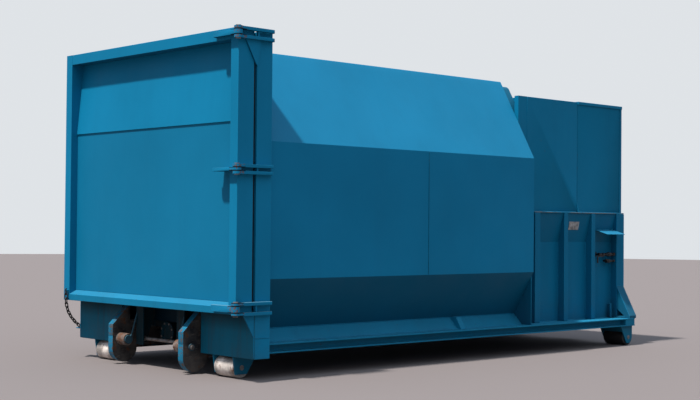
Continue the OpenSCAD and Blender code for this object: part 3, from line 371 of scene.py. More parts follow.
# A dark copy for the foot braces and the bulkhead: painted shade; the side sheets' joint beads use it for dark lines.
paint_shade_and_joints = make_paint("blue_paint_brace_shade_and_joints", (0.0022, 0.090, 0.165), dirt=0.4, chips=0.18)
paint_stay = make_paint("blue_paint_stays", (0.030, 0.085, 0.120), dirt=0.5, chips=0.42)
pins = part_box("hinge_pins")
pin_x = (pins[0][0] + pins[1][0]) / 2
pin_y = (pins[0][1] + pins[1][1]) / 2
hinge_levels = (0.497, 0.5215, 0.5705, 0.595, 1.5655, 1.5910, 2.5690, 2.6090)
# The hinge plates take much pale dust on faces that look up, with a painted highlight on their top edges.
paint_hinge = make_paint("blue_paint_hinges", BLUE, dirt=0.3, chips=0.22, dust_and_sheen=0.30, pin=(pin_x, pin_y),
                         levels=hinge_levels)
paint_worn = make_paint("blue_paint_worn", (0.004, 0.120, 0.215), dirt=0.6, chips=0.40, worn=0.9)
edge_paint = make_paint("blue_paint_edge", (0.0050, 0.178, 0.322), chips=0.38)
edge_low = make_paint("blue_paint_low_edge", (0.0050, 0.090, 0.150), chips=0.60, streaks=0.5)
print("paint finishes:", paint.name, paint_low.name, paint_head_shade.name, paint_worn.name, edge_paint.name)

# %% [markdown]
# ## Bare, worn and rusty steel
# The noses and rollers slide over asphalt and truck rails, so their paint is long gone: pale rubbed metal with
# dark scale and brown rust in patches. Pins and shafts are plain dull steel. These use the same noises with
# other colours, and their gloss falls where the rust is.

# %% Steel, rust, black paint and rubber
def make_steel(name, clean, rust_share, rough=0.5, scale=14.0, metal=0.35, pits=0.35):
    """Rubbed steel with dark scale and rust patches."""
    m, tree, shader, place = start_material(name)
    dark = tuple(c * 0.35 for c in clean)
    colour = mixed(tree, cloud(tree, place, scale * 0.7), dark, clean)
    rust = cloud(tree, place, scale, 7.0, 0.65, 0.62 - 0.3 * rust_share, 0.76 - 0.3 * rust_share)
    rust_tone = mixed(tree, cloud(tree, place, scale * 4), (0.060, 0.024, 0.012),
                      (0.165, 0.075, 0.038))
    colour = mixed(tree, rust, colour, rust_tone)
    tree.links.new(colour, shader.inputs["Base Color"])
    shader.inputs["Metallic"].default_value = metal
    tree.links.new(spread(tree, rust, 0, 1, rough, min(0.95, rough + 0.3)), shader.inputs["Roughness"])
    relief(tree, shader, cloud(tree, place, scale * 9, 6.0), pits, 0.002)
    return m


def make_plain(name, tone, rough, scale, spec=0.4):
    """A dull coat of one tone with slight clouds, for black paint and rubber."""
    m, tree, shader, place = start_material(name)
    colour = mixed(tree, cloud(tree, place, scale), tuple(c * 0.75 for c in tone),
                   tuple(c * 1.3 for c in tone))
    tree.links.new(colour, shader.inputs["Base Color"])
    shader.inputs["Roughness"].default_value = rough
    shader.inputs["Specular IOR Level"].default_value = spec
    relief(tree, shader, cloud(tree, place, scale * 20), 0.12, 0.001)
    return m


# %% The noses: blue in front, scraped steel on their cheeks
def make_nose_steel(name):
    """Paint on faces that look along x or up, scraped dark steel on faces that look along y, rust in both."""
    m, tree, shader, place = start_material(name)
    sideways = facing(tree, "Y")
    cheek = times(tree, sideways, sideways)
    blue = mixed(tree, cloud(tree, place, 6.0), (0.0035, 0.100, 0.175), (0.004, 0.150, 0.265))
    dark = mixed(tree, cloud(tree, place, 9.0), (0.012, 0.014, 0.018), (0.080, 0.072, 0.066))
    colour = mixed(tree, spread(tree, cheek, 0.2, 0.6), blue, dark)
    scuff = cloud(tree, stretched(tree, place, (6, 6, 14)), 2.2, 7.0, 0.65, 0.54, 0.62)
    colour = mixed(tree, scuff, colour, (0.085, 0.075, 0.068))
    rust = cloud(tree, place, 13.0, 7.0, 0.66, 0.56, 0.64)
    colour = mixed(tree, rust, colour, (0.105, 0.045, 0.022))
    tree.links.new(colour, shader.inputs["Base Color"])
    tree.links.new(spread(tree, rust, 0, 1, 0.50, 0.85), shader.inputs["Roughness"])
    shader.inputs["Specular IOR Level"].default_value = 0.25
    relief(tree, shader, cloud(tree, place, 110.0, 6.0), 0.35, 0.002)
    return m


nose_steel = make_nose_steel("nose_steel")
roller_steel = make_steel("roller_steel", (0.76, 0.68, 0.62), 0.28, 0.60, 13.0, metal=0.05, pits=0.7)
# Near-black steel for the rear rollers: painted shade as well as dirt.
black_roller_shade_and_dirt = make_steel("black_roller_shade_and_dirt", (0.012, 0.013, 0.014), 0.10, 0.70, 16.0, metal=0.0, pits=0.6)
small_roller_steel = make_steel("small_roller_steel", (0.26, 0.22, 0.20), 0.62, 0.45, 16.0, metal=0.25, pits=0.6)
pin_steel = make_steel("pin_steel", (0.26, 0.24, 0.23), 0.25, 0.45, 30.0)
clean_steel = make_steel("rod_steel", (0.55, 0.55, 0.56), 0.0, 0.22, 20.0, metal=0.9, pits=0.02)
plate_metal = make_steel("plate_metal", (0.42, 0.42, 0.42), 0.08, 0.40, 60.0)
chain_metal = make_steel("chain_metal", (0.012, 0.012, 0.013), 0.12, 0.55, 60.0, metal=0.1)
coupling_steel = make_steel("coupling_steel", (0.020, 0.022, 0.026), 0.22, 0.45, 26.0)
nut_steel = make_steel("nut_steel", (0.22, 0.20, 0.19), 0.35, 0.45, 50.0)
black = make_plain("black_paint", (0.012, 0.012, 0.014), 0.45, 25.0)
rubber = make_plain("seal_rubber", (0.010, 0.010, 0.010), 0.80, 40.0, 0.2)
print("steels:", nose_steel.name, roller_steel.name, pin_steel.name)

# %% [markdown]
# ## Rounded edges on every plate
# A cut or folded plate never has a razor edge: the brush and the paint leave a small round that catches the
# light. Each painted part is copied, its loose triangles are joined into clean faces, and a Bevel modifier
# rounds what is sharper than 35 degrees. The bevel's own faces get the edge paint, which is chipped more.

# %% Softened copies of the painted parts
def body_of_node(node):
    """Name of the moving body that holds a node."""
    return next(b for b, names in frame["record"]["behaviour"]["bodies"].items() if node in names)


def softened(node, radius, material, edge):
    """Copy of a node with joined faces and rounded edges, standing for it."""
    mesh = frame["nodes"][node].data.copy()
    shell = bmesh.new()
    shell.from_mesh(mesh)
    bmesh.ops.remove_doubles(shell, verts=shell.verts, dist=2e-5)
    bmesh.ops.dissolve_limit(shell, angle_limit=math.radians(0.6), verts=shell.verts, edges=shell.edges)
    shell.to_mesh(mesh)
    shell.free()
    mesh.materials.clear()
    mesh.materials.append(material)
    mesh.materials.append(edge)
    mesh.polygons.foreach_set("material_index", np.zeros(len(mesh.polygons), dtype=np.int32))
    mesh.polygons.foreach_set("use_smooth", np.ones(len(mesh.polygons), dtype=bool))
    mesh.set_sharp_from_angle(angle=math.radians(35))
    piece = bpy.data.objects.new(node + "_steel", mesh)
    bpy.context.scene.collection.objects.link(piece)
    bevel = piece.modifiers.new("edge", "BEVEL")
    bevel.width = radius
    bevel.segments = 2
    bevel.limit_method = "ANGLE"
    bevel.angle_limit = math.radians(35)
    bevel.material = 1
    bevel.use_clamp_overlap = True
    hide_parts(node)
    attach(piece, body_of_node(node))
    return piece


finish_groups = {
    paint_under_shade: (edge_low, ["nose_hangers", "drain_pipe", "floor_bearers"]),
    paint_low: (edge_low, ["end_aprons"]),
    paint_bracket: (edge_low, ["roller_brackets"]),
    paint_rail: (edge_paint, ["side_rails"]),
    paint_sill: (paint_sill, ["sill_beam"]),
    paint_beam: (edge_paint, ["door_bottom_beam"]),
    paint_hinge: (paint_hinge, ["hinge_brackets", "door_hinge_leaves"]),
    paint: (edge_paint, ["end_posts", "header_beam", "frame_corner_plates", "door_hinge_stile", "door_lock_stile",
                         "door_top_beam", "door_back_ribs", "chain_shelf", "lock_shaft", "lock_bearings",
                         "hook_frame"]),
    paint_head_shade: (edge_paint, ["rear_wall", "hopper_walls", "cabinet", "service_door", "rain_hood"]),
    paint_recess_shade: (edge_paint, ["packer_hinge_wall", "packer_lock_wall", "packer_stiffeners"]),
    paint_shade_and_joints: (edge_paint, ["foot_braces", "bulkhead"]),
    paint_worn: (edge_paint, ["packer_floor", "packer_deck", "ram"])}
for coat, (rim, names) in finish_groups.items():
    for name in names:
        softened(name, 0.0025, coat, rim)
softened("skids", 0.004, nose_steel, nose_steel)
softened("power_unit", 0.003, black, black)
print("softened", sum(len(names) for _, names in finish_groups.values()) + 2, "parts")

# %% [markdown]
# ## New pieces from arrays
# Sheets, weld beads, rollers and nuts are all surfaces on a grid: rows along one direction, columns round the
# other. The points are worked out as whole arrays and the faces follow from the row and column numbers, so one
# helper can build every piece. It also turns all faces outward and sets which edges stay sharp.

# %% Grid faces and the piece builder
def grid_faces(rows, cols, round_rows=False, round_cols=False):
    """Four corner numbers for each cell of a grid whose point (i, j) has the number i * cols + j."""
    i = np.arange(rows if round_rows else rows - 1)[:, None]
    j = np.arange(cols if round_cols else cols - 1)[None, :]
    a = i * cols + j
    b = i * cols + (j + 1) % cols
    c = (i + 1) % rows * cols + (j + 1) % cols
    d = (i + 1) % rows * cols + j
    return np.stack([a, b, c, d], axis=-1).reshape(-1, 4)


def new_piece(name, points, faces, material, body, slot, stands_for=(), sharp=35):
    """Mesh object from points and faces; its faces are turned outward and its soft edges shaded smooth."""
    mesh = bpy.data.meshes.new(name)
    mesh.from_pydata(np.asarray(points).tolist(), [], [list(f) for f in np.asarray(faces).tolist()])
    shell = bmesh.new()
    shell.from_mesh(mesh)
    bmesh.ops.recalc_face_normals(shell, faces=shell.faces)
    shell.to_mesh(mesh)
    shell.free()
    mesh.polygons.foreach_set("use_smooth", np.ones(len(mesh.polygons), dtype=bool))
    mesh.set_sharp_from_angle(angle=math.radians(sharp))
    mesh.materials.append(material)
    piece = bpy.data.objects.new(name, mesh)
    bpy.context.scene.collection.objects.link(piece)
    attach(piece, body)
    if stands_for:
        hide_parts(*stands_for)
    return piece


def together(parts):
    """One list of points and faces from several, each one's corner numbers moved past those before it."""
    starts = np.cumsum([0] + [len(p) for p, _ in parts[:-1]])
    return np.concatenate([p for p, _ in parts]), np.concatenate([f + s for (_, f), s in zip(parts, starts)])


# %% [markdown]
# ## Folded sheets with a little buckle
# The container's skin is thin plate folded at long bends and welded at its edges. Heat pulls it, so each flat
# dishes in by a millimetre or two and carries faint waves, which shows as soft changes of tone when the light
# grazes it. A profile of flats and small round bends is carried along the container, and every point is moved
# along the sheet's own normal. The move fades to nothing at each bend, end and weld, where the sheet is held.

# %% The bent profile
def bent_profile(corners, radius, step=0.05, turns=5):
    """Points, inward normals and hold distances along flats with round bends, in (y, z).

    A flat from P to Q has the direction d = (Q - P) / |Q - P| and the inward normal (d_z, -d_y). At a bend the
    normal turns evenly from one flat's to the next, and the point is centre - radius * normal. The hold distance
    is how far a point lies from the nearer end of its flat; it is 0 on a bend.
    """
    corners = np.asarray(corners, dtype=float)
    d = np.diff(corners, axis=0)
    d /= np.linalg.norm(d, axis=1)[:, None]
    n = np.stack([d[:, 1], -d[:, 0]], axis=1)
    trim = [0.0] + [radius * math.tan(0.5 * math.acos(float(np.clip(n[i - 1] @ n[i], -1, 1))))
                    for i in range(1, len(n))] + [0.0]
    points, normals, hold = [], [], []
    for i in range(len(n)):
        a = corners[i] + d[i] * trim[i]
        b = corners[i + 1] - d[i] * trim[i + 1]
        length = np.linalg.norm(b - a)
        t = np.linspace(0, 1, max(3, int(length / step)) + 1)
        points.append(a + (b - a) * t[:, None])
        normals.append(np.repeat(n[i][None], len(t), axis=0))
        hold.append(np.minimum(t, 1 - t) * length)
        if i + 1 < len(n):
            turn = np.linspace(0, 1, turns + 2)[1:-1, None]
            arc = n[i] * (1 - turn) + n[i + 1] * turn
            arc /= np.linalg.norm(arc, axis=1)[:, None]
            points.append(b + radius * n[i] - radius * arc)
            normals.append(arc)
            hold.append(np.zeros(turns))
    return np.concatenate(points), np.concatenate(normals), np.concatenate(hold)


# %% The sheet carried along x
def folded_sheet(corners, x_ends, seams=(), radius=0.012, thickness=0.005, dish=0.0016, wave=0.0010, phase=0.0):
    """Closed sheet: outer point = profile + normal * m, inner point = the same + normal * thickness.

    m = (dish + wave * (0.6 sin(7.0 x + 3.7 s) + 0.4 sin(13.4 x - 7.9 s))) * held(x) * held(s), where s runs along
    the profile and held(u) = 1 - exp(-(distance to the nearest end, bend or seam / 0.16)^2).
    """
    p, n, hold = bent_profile(corners, radius)
    s = np.concatenate([[0], np.cumsum(np.linalg.norm(np.diff(p, axis=0), axis=1))])
    x = np.linspace(*x_ends, int((x_ends[1] - x_ends[0]) / 0.05) + 1)
    held_x = np.min(np.abs(x[:, None] - np.array([*x_ends, *seams])[None, :]), axis=1)
    held = (1 - np.exp(-(held_x / 0.16) ** 2))[:, None] * (1 - np.exp(-(hold / 0.16) ** 2))[None, :]
    ripple = (0.6 * np.sin(7.0 * x[:, None] + 3.7 * s[None, :] + phase)
              + 0.4 * np.sin(13.4 * x[:, None] - 7.9 * s[None, :] + 2 * phase))
    move = (dish + wave * ripple) * held
    outer = p[None] + n[None] * move[..., None]
    inner = outer + n[None] * thickness
    ring = np.concatenate([outer, inner[:, ::-1]], axis=1)
    rows, cols = ring.shape[:2]
    points = np.concatenate([np.broadcast_to(x[:, None, None], (rows, cols, 1)), ring], axis=2).reshape(-1, 3)
    k = len(p)
    j = np.arange(k - 1)
    cap = np.stack([j, j + 1, 2 * k - 2 - j, 2 * k - 1 - j], axis=1)
    return points, np.concatenate([grid_faces(rows, cols, round_cols=True), cap, cap + (rows - 1) * cols])


# %% The container's three skins
low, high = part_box("roof_panel")
x_ends = (low[0], high[0])
side, bend_high, roof = high[1], low[2], high[2]
foot, floor_low, bend_low, roof_flat = 0.940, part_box("hinge_side_panel")[0][2], 0.758, 0.756
sheet_joint_x = 2.091
seam_x = face_x + sheet_joint_x
roof_line = [(-side, bend_high), (-roof_flat, roof), (roof_flat, roof), (side, bend_high)]
hinge_line = [(-foot, floor_low), (-side, bend_low), (-side, bend_high)]
lock_line = [(side, bend_high), (side, bend_low), (foot, floor_low)]
for name, line, seams, phase in (("roof_panel", roof_line, (), 0.4), ("hinge_side_panel", hinge_line, (seam_x,), 1.7),
                                 ("lock_side_panel", lock_line, (seam_x,), 3.1)):
    points, faces = folded_sheet(line, x_ends, seams, phase=phase)
    new_piece(name + "_sheet", points, faces, paint_skin, "container", "blue_paint", (name,))
    print(name, "sheet of", len(faces), "faces")

# %% [markdown]
# ## The door's panels
# Two plates close the door between its tubes: a tall flat one, and a shorter one that leans back to the top
# beam. They are welded all round, so they are held at four edges and dish in the middle. Each one is a grid
# between four corners, moved along its normal, with a second layer behind it for its thickness. The upper plate
# laps over the lower one, so its edge draws a thin dark line across the door.

# %% Plates held at four edges
def held_plate(a, b, c, thickness, dish, wave, phase):
    """Grid a + u (b - a) + v (c - a) with u, v from 0 to 1, moved along its normal by
    (dish + wave * sin(2 pi (1.3 u + 0.7 v) + phase)) * (16 u v (1 - u) (1 - v)) ^ 0.6, and its back layer."""
    a, b, c = (np.asarray(p, dtype=float) for p in (a, b, c))
    nu, nv = 41, 31
    u = np.linspace(0, 1, nu)[:, None, None]
    v = np.linspace(0, 1, nv)[None, :, None]
    normal = np.cross(b - a, c - a)
    normal /= np.linalg.norm(normal)
    move = (dish + wave * np.sin(2 * np.pi * (1.3 * u + 0.7 * v) + phase)) * (16 * u * v * (1 - u) * (1 - v)) ** 0.6
    front = a + u * (b - a) + v * (c - a) + normal * move
    back = front + normal * thickness
    faces = grid_faces(nu, nv)
    i, j = np.arange(nu - 1), np.arange(nv - 1)
    size = nu * nv
    rims = []
    for first, step, count in ((0, nv, nu), (nv - 1, nv, nu), (0, 1, nv), ((nu - 1) * nv, 1, nv)):
        e = first + step * np.arange(count - 1)
        rims.append(np.stack([e, e + step, e + step + size, e + size], axis=1))
    return np.concatenate([front.reshape(-1, 3), back.reshape(-1, 3)]), np.concatenate([faces, faces + size, *rims])


low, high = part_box("door_lower_panel")
points, faces = held_plate((low[0], high[1], low[2]), (low[0], low[1], low[2]), (low[0], high[1], high[2]),
                           0.006, 0.0015, 0.0010, 0.6)
new_piece("door_lower_panel_plate", points, faces, paint_panel, "door", "blue_paint", ("door_lower_panel",))
low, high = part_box("door_upper_panel")
lap = 0.009
points, faces = held_plate((low[0] - lap, high[1], low[2] - 0.002), (low[0] - lap, low[1], low[2] - 0.002),
                           (high[0] - 0.006, high[1], high[2]), 0.006, 0.0012, 0.0008, 2.2)
new_piece("door_upper_panel_plate", points, faces, paint, "door", "blue_paint", ("door_upper_panel",))
print("door plates between", [round(v, 3) for v in low], "and", [round(v, 3) for v in high])

# %% [markdown]
# ## Weld beads
# Every joint between two plates is closed by a bead of weld metal a few millimetres wide, with small overlapping
# scales from the welder's steps. A bead is a thin rod along its joint, half sunk into both plates, whose radius
# swells and shrinks. All beads of one body are one piece, painted like the steel round them.
# The joint beads of the side sheets take a darker coat, so they show as dark lines.

# %% Beads along straight joints
def bead(start, end, radius, scale=0.011):
    """Rod from start to end: radius * (1 + 0.16 |sin(pi t / scale)| + 0.08 sin(29 t)) at the distance t."""
    start, end = np.asarray(start, dtype=float), np.asarray(end, dtype=float)
    length = np.linalg.norm(end - start)
    along = (end - start) / length
    across = np.cross(along, (0.31, 0.52, 0.79))
    across /= np.linalg.norm(across)
    other = np.cross(along, across)
    t = np.linspace(0, length, max(3, int(length / 0.0065)) + 1)
    r = radius * (1 + 0.16 * np.abs(np.sin(np.pi * t / scale)) + 0.08 * np.sin(29 * t))
    r[[0, -1]] *= 0.3
    angle = np.arange(6) * math.pi / 3
    ring = across[None] * np.cos(angle)[:, None] + other[None] * np.sin(angle)[:, None]
    points = start + along * t[:, None, None] + ring[None] * r[:, None, None]
    last = len(t) - 1
    caps = np.array([[0, 1, 2, 3], [0, 3, 4, 5]])
    return points.reshape(-1, 3), np.concatenate([grid_faces(len(t), 6, round_cols=True), caps, caps + last * 6])


def beads_piece(name, joints, material, body):
    """All beads of a list of (start, end, radius) as one piece."""
    points, faces = together([bead(*joint) for joint in joints])
    new_piece(name, points, faces, material, body, "blue_paint", sharp=80)
    print(name, len(joints), "beads,", len(faces), "faces")


def mirrored(joints):
    """The joints and their mirror images on the other side of the middle plane."""
    flip = np.array([1.0, -1.0, 1.0])
    return joints + [(np.asarray(a) * flip, np.asarray(b) * flip, r) for a, b, r in joints]


# %% Where the container's joints are
def at(x, y, z):
    """Point given from the door's face."""
    return (face_x + x, y, z)


end_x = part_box("roof_panel")[1][0] - face_x
post_low, post_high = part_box("end_posts")
post_back = post_high[0] - face_x
post_front = post_low[0] - face_x
half = post_high[1]
strip_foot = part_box("side_rails")[1][1] - 0.130
flange_z = 0.269
skin_joints = mirrored([
    (at(post_back + 0.002, -side, bend_low), at(post_back + 0.002, -side, bend_high), 0.004),
    (at(post_back + 0.002, -side, bend_high), at(post_back + 0.002, -roof_flat, roof), 0.004),
    (at(post_back + 0.004, -foot, floor_low + 0.002), at(end_x, -foot, floor_low + 0.002), 0.004),
    (at(post_back + 0.004, -strip_foot, flange_z), at(end_x, -strip_foot, flange_z), 0.0045),
    (at(end_x, -side + 0.027, bend_low), at(end_x, -side + 0.027, bend_high - 0.01), 0.004),
    *[(at(post_front, -half, z), at(post_back, -half, z), 0.0035) for z in (0.503, 0.322)],
    (at(0.170, -half + 0.001, 0.170), at(0.170, -half + 0.001, 0.500), 0.003)])
beads_piece("container_welds", skin_joints, paint, "container")
sheet_joint = mirrored([(at(sheet_joint_x, -side, bend_low + 0.004), at(sheet_joint_x, -side, bend_high), 0.0035)])
# These beads use the dark coat that paints shade on the braces, here for a dark joint line.
beads_piece("side_sheet_joints", sheet_joint, paint_shade_and_joints, "container")

# %% Beads of the packer head
wall_low, wall_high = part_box("packer_stiffeners")
outer_half, deck_low = wall_high[1], wall_high[2]
wall_half = outer_half - 0.078
packer_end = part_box("rear_wall")[1][0] - face_x
wall_x = wall_low[0] - face_x
span = packer_end - 0.012 - wall_x
head_joints = []
for start, width in ((wall_x, 0.074), (wall_x + span * 0.315, 0.056), (wall_x + span * 0.625, 0.056),
                     (packer_end - 0.124, 0.112)):
    for x in (start, start + width):
        head_joints.append((at(x, -wall_half, flange_z), at(x, -wall_half, 1.030), 0.0042))
        head_joints.append((at(x, -outer_half, deck_low), at(x, -wall_half - 0.03, deck_low), 0.004))
deck_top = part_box("packer_deck")[1][2]
hop_low, hop_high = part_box("hopper_walls")
hop_front, hop_top = hop_low[0] - face_x, hop_high[2]
hop_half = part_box("cabinet")[1][1] - 0.012
head_joints += [
    (at(hop_front, -hop_half, deck_top), at(hop_high[0] - face_x, -hop_half, deck_top), 0.0045),
    (at(hop_front, -hop_half, deck_top), at(hop_front, -hop_half, hop_top - 0.003), 0.003),
    (at(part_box("cabinet")[0][0] - face_x, -hop_half, deck_top), at(packer_end - 0.040, -hop_half, deck_top), 0.0045),
    (at(wall_x, -wall_half, flange_z), at(packer_end - 0.01, -wall_half, flange_z), 0.0045),
    (at(packer_end - 0.124, -outer_half, 0.590), at(packer_end - 0.009, -outer_half, 0.590), 0.004)]
beads_piece("packer_welds", mirrored(head_joints), paint_head_shade, "container")

# %% Beads of the door
lower_low, lower_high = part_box("door_lower_panel")
seam_z = lower_high[2]
panel_face = lower_low[0] - face_x
stile_in = lower_high[1]
upper_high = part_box("door_upper_panel")[1]
upper_x, upper_z = upper_high[0] - face_x - 0.006, upper_high[2]
door_joints = mirrored([
    (at(panel_face, -stile_in, lower_low[2]), at(panel_face, -stile_in, seam_z), 0.0045),
    (at(panel_face, -stile_in, seam_z), at(upper_x, -stile_in, upper_z), 0.0045)])
door_joints += [
    (at(upper_x, -stile_in, upper_z), at(upper_x, stile_in, upper_z), 0.0045),
    (at(panel_face, -stile_in, lower_low[2]), at(panel_face, stile_in, lower_low[2]), 0.0045)]
beads_piece("door_welds", door_joints, paint, "door")

# %% [markdown]
# ## Small closing plates
# The hopper's sides run on over the container's end ring as narrow cheeks, each rear roller has a short sloped
# guard in front of it under the rail, and the middle hinge leaf runs back to the door's sheet. They are flat
# plates cut to an outline, so each is the outline twice, a thickness apart, with a rim between the two.

# %% Plates cut to an outline
def cut_plate(outline, shift):
    """Plate whose one face is the outline of four points and whose other face is the outline plus shift."""
    outline = np.asarray(outline, dtype=float)
    n = len(outline)
    i = np.arange(n)
    rim = np.stack([i, (i + 1) % n, (i + 1) % n + n, i + n], axis=1)
    return np.concatenate([outline, outline + np.asarray(shift)]), np.concatenate([[i], [i[::-1] + n], rim])


cheek_z = bend_high + (side - hop_half + 0.005) / (side - roof_flat) * (roof - bend_high) - 0.200
cheek_front, cheek_back, cheek_thickness = end_x + 0.009, hop_front - 0.0005, 0.047
parts = []
for s in (-1, 1):
    outline = [at(x, s * hop_half, z) for x, z in ((cheek_front, cheek_z), (cheek_back, cheek_z),
                                                   (cheek_back, hop_top), (cheek_front, hop_top))]
    parts.append(cut_plate(outline, (0, -cheek_thickness * s, 0)))
new_piece("hopper_cheeks", *together(parts), paint_head_shade, "container", "blue_paint", sharp=30)
print("hopper cheeks from z =", round(cheek_z, 3), "to", round(hop_top, 3))

# %% Guards in front of the rear rollers
rear_low, rear_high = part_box("hinge_side_rear_roller")
axle_x = (rear_low[0] + rear_high[0]) / 2 - face_x
guard_top, guard_foot = (axle_x - 0.127, 0.183), (axle_x - 0.096, 0.136)
parts = []
for s in (-1, 1):
    a, b = sorted((s * -rear_low[1], s * -rear_high[1]))
    outline = [at(x, y, z) for y, (x, z) in ((a, guard_top), (b, guard_top), (b, guard_foot), (a, guard_foot))]
    parts.append(cut_plate(outline, (0.005, 0, 0.003)))
new_piece("rear_roller_guards", *together(parts), paint_low, "container", "blue_paint", sharp=30)
print("guards in front of the axle at", round(axle_x, 3), "m from the door's face")

# %% Root of the middle hinge leaf
leaf_bottom, leaf_top, leaf_front, leaf_back = 1.5655, 1.5905, 0.006, panel_face + 0.001
outline = [at(x, y, leaf_bottom) for x, y in ((leaf_front, -stile_in), (leaf_front, -0.965), (leaf_back, -0.985),
                                              (leaf_back, -stile_in))]
new_piece("middle_leaf_root", *cut_plate(outline, (0, 0, leaf_top - leaf_bottom)), paint_hinge, "door", "blue_paint",
          sharp=30)
print("leaf root", round(leaf_top - leaf_bottom, 3), "m thick")

# %% [markdown]
# ## Rollers, turned on a lathe
# The six rollers are thick steel tubes. Years of rolling have rounded their rims and dented their faces. Each is
# a profile of (radius, place along the axle) turned full circle, closed through its bore, with shallow dents
# worked into the radius.

# %% Turned pieces
def turned(profile, centre, axis, steps, closed=True, dents=0.0, phase=0.0):
    """Points centre + r (u cos a + v sin a) + t w for each profile pair (r, t) and each of steps angles a.

    w is the axis, u and v the two directions across it. With dents, r shrinks by dents times the square of
    0.5 + 0.25 (sin(5 a + 40 t) + sin(9 a - 61 t)). A closed profile meets itself; an open one ends on the axis.
    """
    profile = np.asarray(profile, dtype=float)
    w = np.eye(3)[axis]
    u, v = np.eye(3)[(axis + 1) % 3], np.eye(3)[(axis + 2) % 3]
    a = np.arange(steps) * 2 * np.pi / steps
    r = np.repeat(profile[:, :1], steps, axis=1)
    t = profile[:, 1:2]
    if dents > 0:
        r = r - dents * (0.5 + 0.25 * (np.sin(5 * a + 40 * t + phase) + np.sin(9 * a - 61 * t + 2 * phase))) ** 2
    points = (np.asarray(centre) + r[..., None] * (np.cos(a)[None, :, None] * u + np.sin(a)[None, :, None] * v)
              + t[..., None] * w)
    faces = grid_faces(len(profile), steps, round_rows=closed, round_cols=True)
    return points.reshape(-1, 3), faces


def roller_profile(radius, length, bore, rim):
    """Closed outline of a roller's half section: bore, end face with a shallow ring, round rim, crowned face."""
    h = length / 2
    turn = np.linspace(0, np.pi / 2, 6)
    rim_up = np.stack([radius - rim + rim * np.sin(turn), -h + rim - rim * np.cos(turn)], axis=1)
    face = np.stack([radius - 0.0006 * np.linspace(-1, 1, 15) ** 2, np.linspace(-h + rim * 1.3, h - rim * 1.3, 15)],
                    axis=1)
    left = np.array([[bore, -h + 0.002], [bore + 0.002, -h], [radius * 0.62, -h], [radius * 0.64, -h + 0.002],
                     [radius * 0.80, -h + 0.002], [radius * 0.82, -h]])
    right = (left * [1, -1])[::-1]
    rim_down = (rim_up * [1, -1])[::-1]
    return np.concatenate([left, rim_up, face, rim_down, right])


roller_kinds = {"front": (0.0201, 0.009, roller_steel), "rear": (0.0201, 0.009, black_roller_shade_and_dirt),
                "nose": (0.0141, 0.007, small_roller_steel)}
rollers = [(side_name, kind) for kind in roller_kinds for side_name in ("hinge", "lock")]
for number, (side_name, kind) in enumerate(rollers):
    name = side_name + "_side_" + kind + "_roller"
    bore, rim, steel = roller_kinds[kind]
    low, high = (np.array(p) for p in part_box(name))
    outline = roller_profile((high[2] - low[2]) / 2, high[1] - low[1], bore, rim)
    points, faces = turned(outline, (low + high) / 2, 1, 72, dents=0.0016, phase=number)
    new_piece(name + "_turned", points, faces, steel, kind + "_roller_" + side_name[0], "roller_steel", (name,),
              sharp=40)
print("turned", len(rollers), "rollers")

# %% [markdown]
# ## Nuts, bolts and rivets
# Small fasteners give a machine its scale. A hexagonal head is a turned shape with only six steps, and its
# corners are cut by a second, smaller ring near the top. The same helper with more steps makes washers and
# rivets. Each group is one piece.

# %% Small turned fasteners
def hex_head(centre, axis, across, height, up=1):
    """Six-sided head on a round washer: rings at the foot, the shoulder and the bevelled top."""
    r = across / math.sqrt(3)
    washer = [(0.0002, 0), (r * 1.25, 0), (r * 1.25, height * 0.22), (r * 1.02, height * 0.22),
              (0.0002, height * 0.22)]
    head = [(0.0002, height * 0.2), (r, height * 0.2), (r, height * 0.85), (r * 0.88, height), (0.0002, height)]
    parts = [turned([(a, up * t) for a, t in washer], centre, axis, 20, closed=False),
             turned([(a, up * t) for a, t in head], centre, axis, 6, closed=False)]
    return together(parts)


def dome_head(centre, axis, radius, height, up=1):
    """Round rivet: radius * cos(q) across and height * sin(q) up, with q from 0 to a quarter turn."""
    q = np.linspace(0, np.pi / 2, 6)
    profile = [(0.0002, 0)] + [(max(radius * math.cos(v), 0.0002), up * height * math.sin(v)) for v in q]
    return turned(profile, centre, axis, 16, closed=False)


def fasteners(name, parts, material, body, slot="bare_steel"):
    """A group of fasteners as one piece."""
    points, faces = together(parts)
    print(name, len(parts), "of them,", len(faces), "faces")
    new_piece(name, points, faces, material, body, slot, sharp=30)


# %% Bolts on the noses and the drain
nose_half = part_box("nose_pins")[1][1]
parts = [hex_head((face_x + 0.099, s * (nose_half - 0.0004), 0.212), 1, 0.030, 0.010, s) for s in (-1, 1)]
fasteners("nose_bolts", parts, nut_steel, "container")
drain_x, drain_y, drain_z, drain_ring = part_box("drain_pipe")[0][0], 0.095, 0.272, 0.080
ring = [(drain_x, drain_y + drain_ring * math.cos(a), drain_z + drain_ring * math.sin(a))
        for a in np.arange(8) * math.pi / 4 + 0.4]
fasteners("drain_bolts", [hex_head(p, 0, 0.012, 0.006, -1) for p in ring], nut_steel, "container")

# %% Rivets of the data plate
low, high = (np.array(p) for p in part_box("label_plate"))
lean = (high[1] - low[1] - 0.002) / (high[2] - low[2])
parts = [dome_head((x, high[1] - 0.002 - lean * (z - low[2]), z), 1, 0.0035, 0.0022, -1)
         for x in (low[0] + 0.010, high[0] - 0.010) for z in (low[2] + 0.009, high[2] - 0.009)]
fasteners("plate_rivets", parts, nut_steel, "container")

# %% Cap screws of the lock's bearings
low, high = (np.array(p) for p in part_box("lock_bearings"))
bearing_heights = (0.753, 1.433, 2.113)
parts = [hex_head((x, high[1] - 0.0004, z), 1, 0.010, 0.006, 1)
         for z in bearing_heights for x in (low[0] + 0.007, high[0] - 0.007)]
fasteners("bearing_bolts", parts, nut_steel, "container")

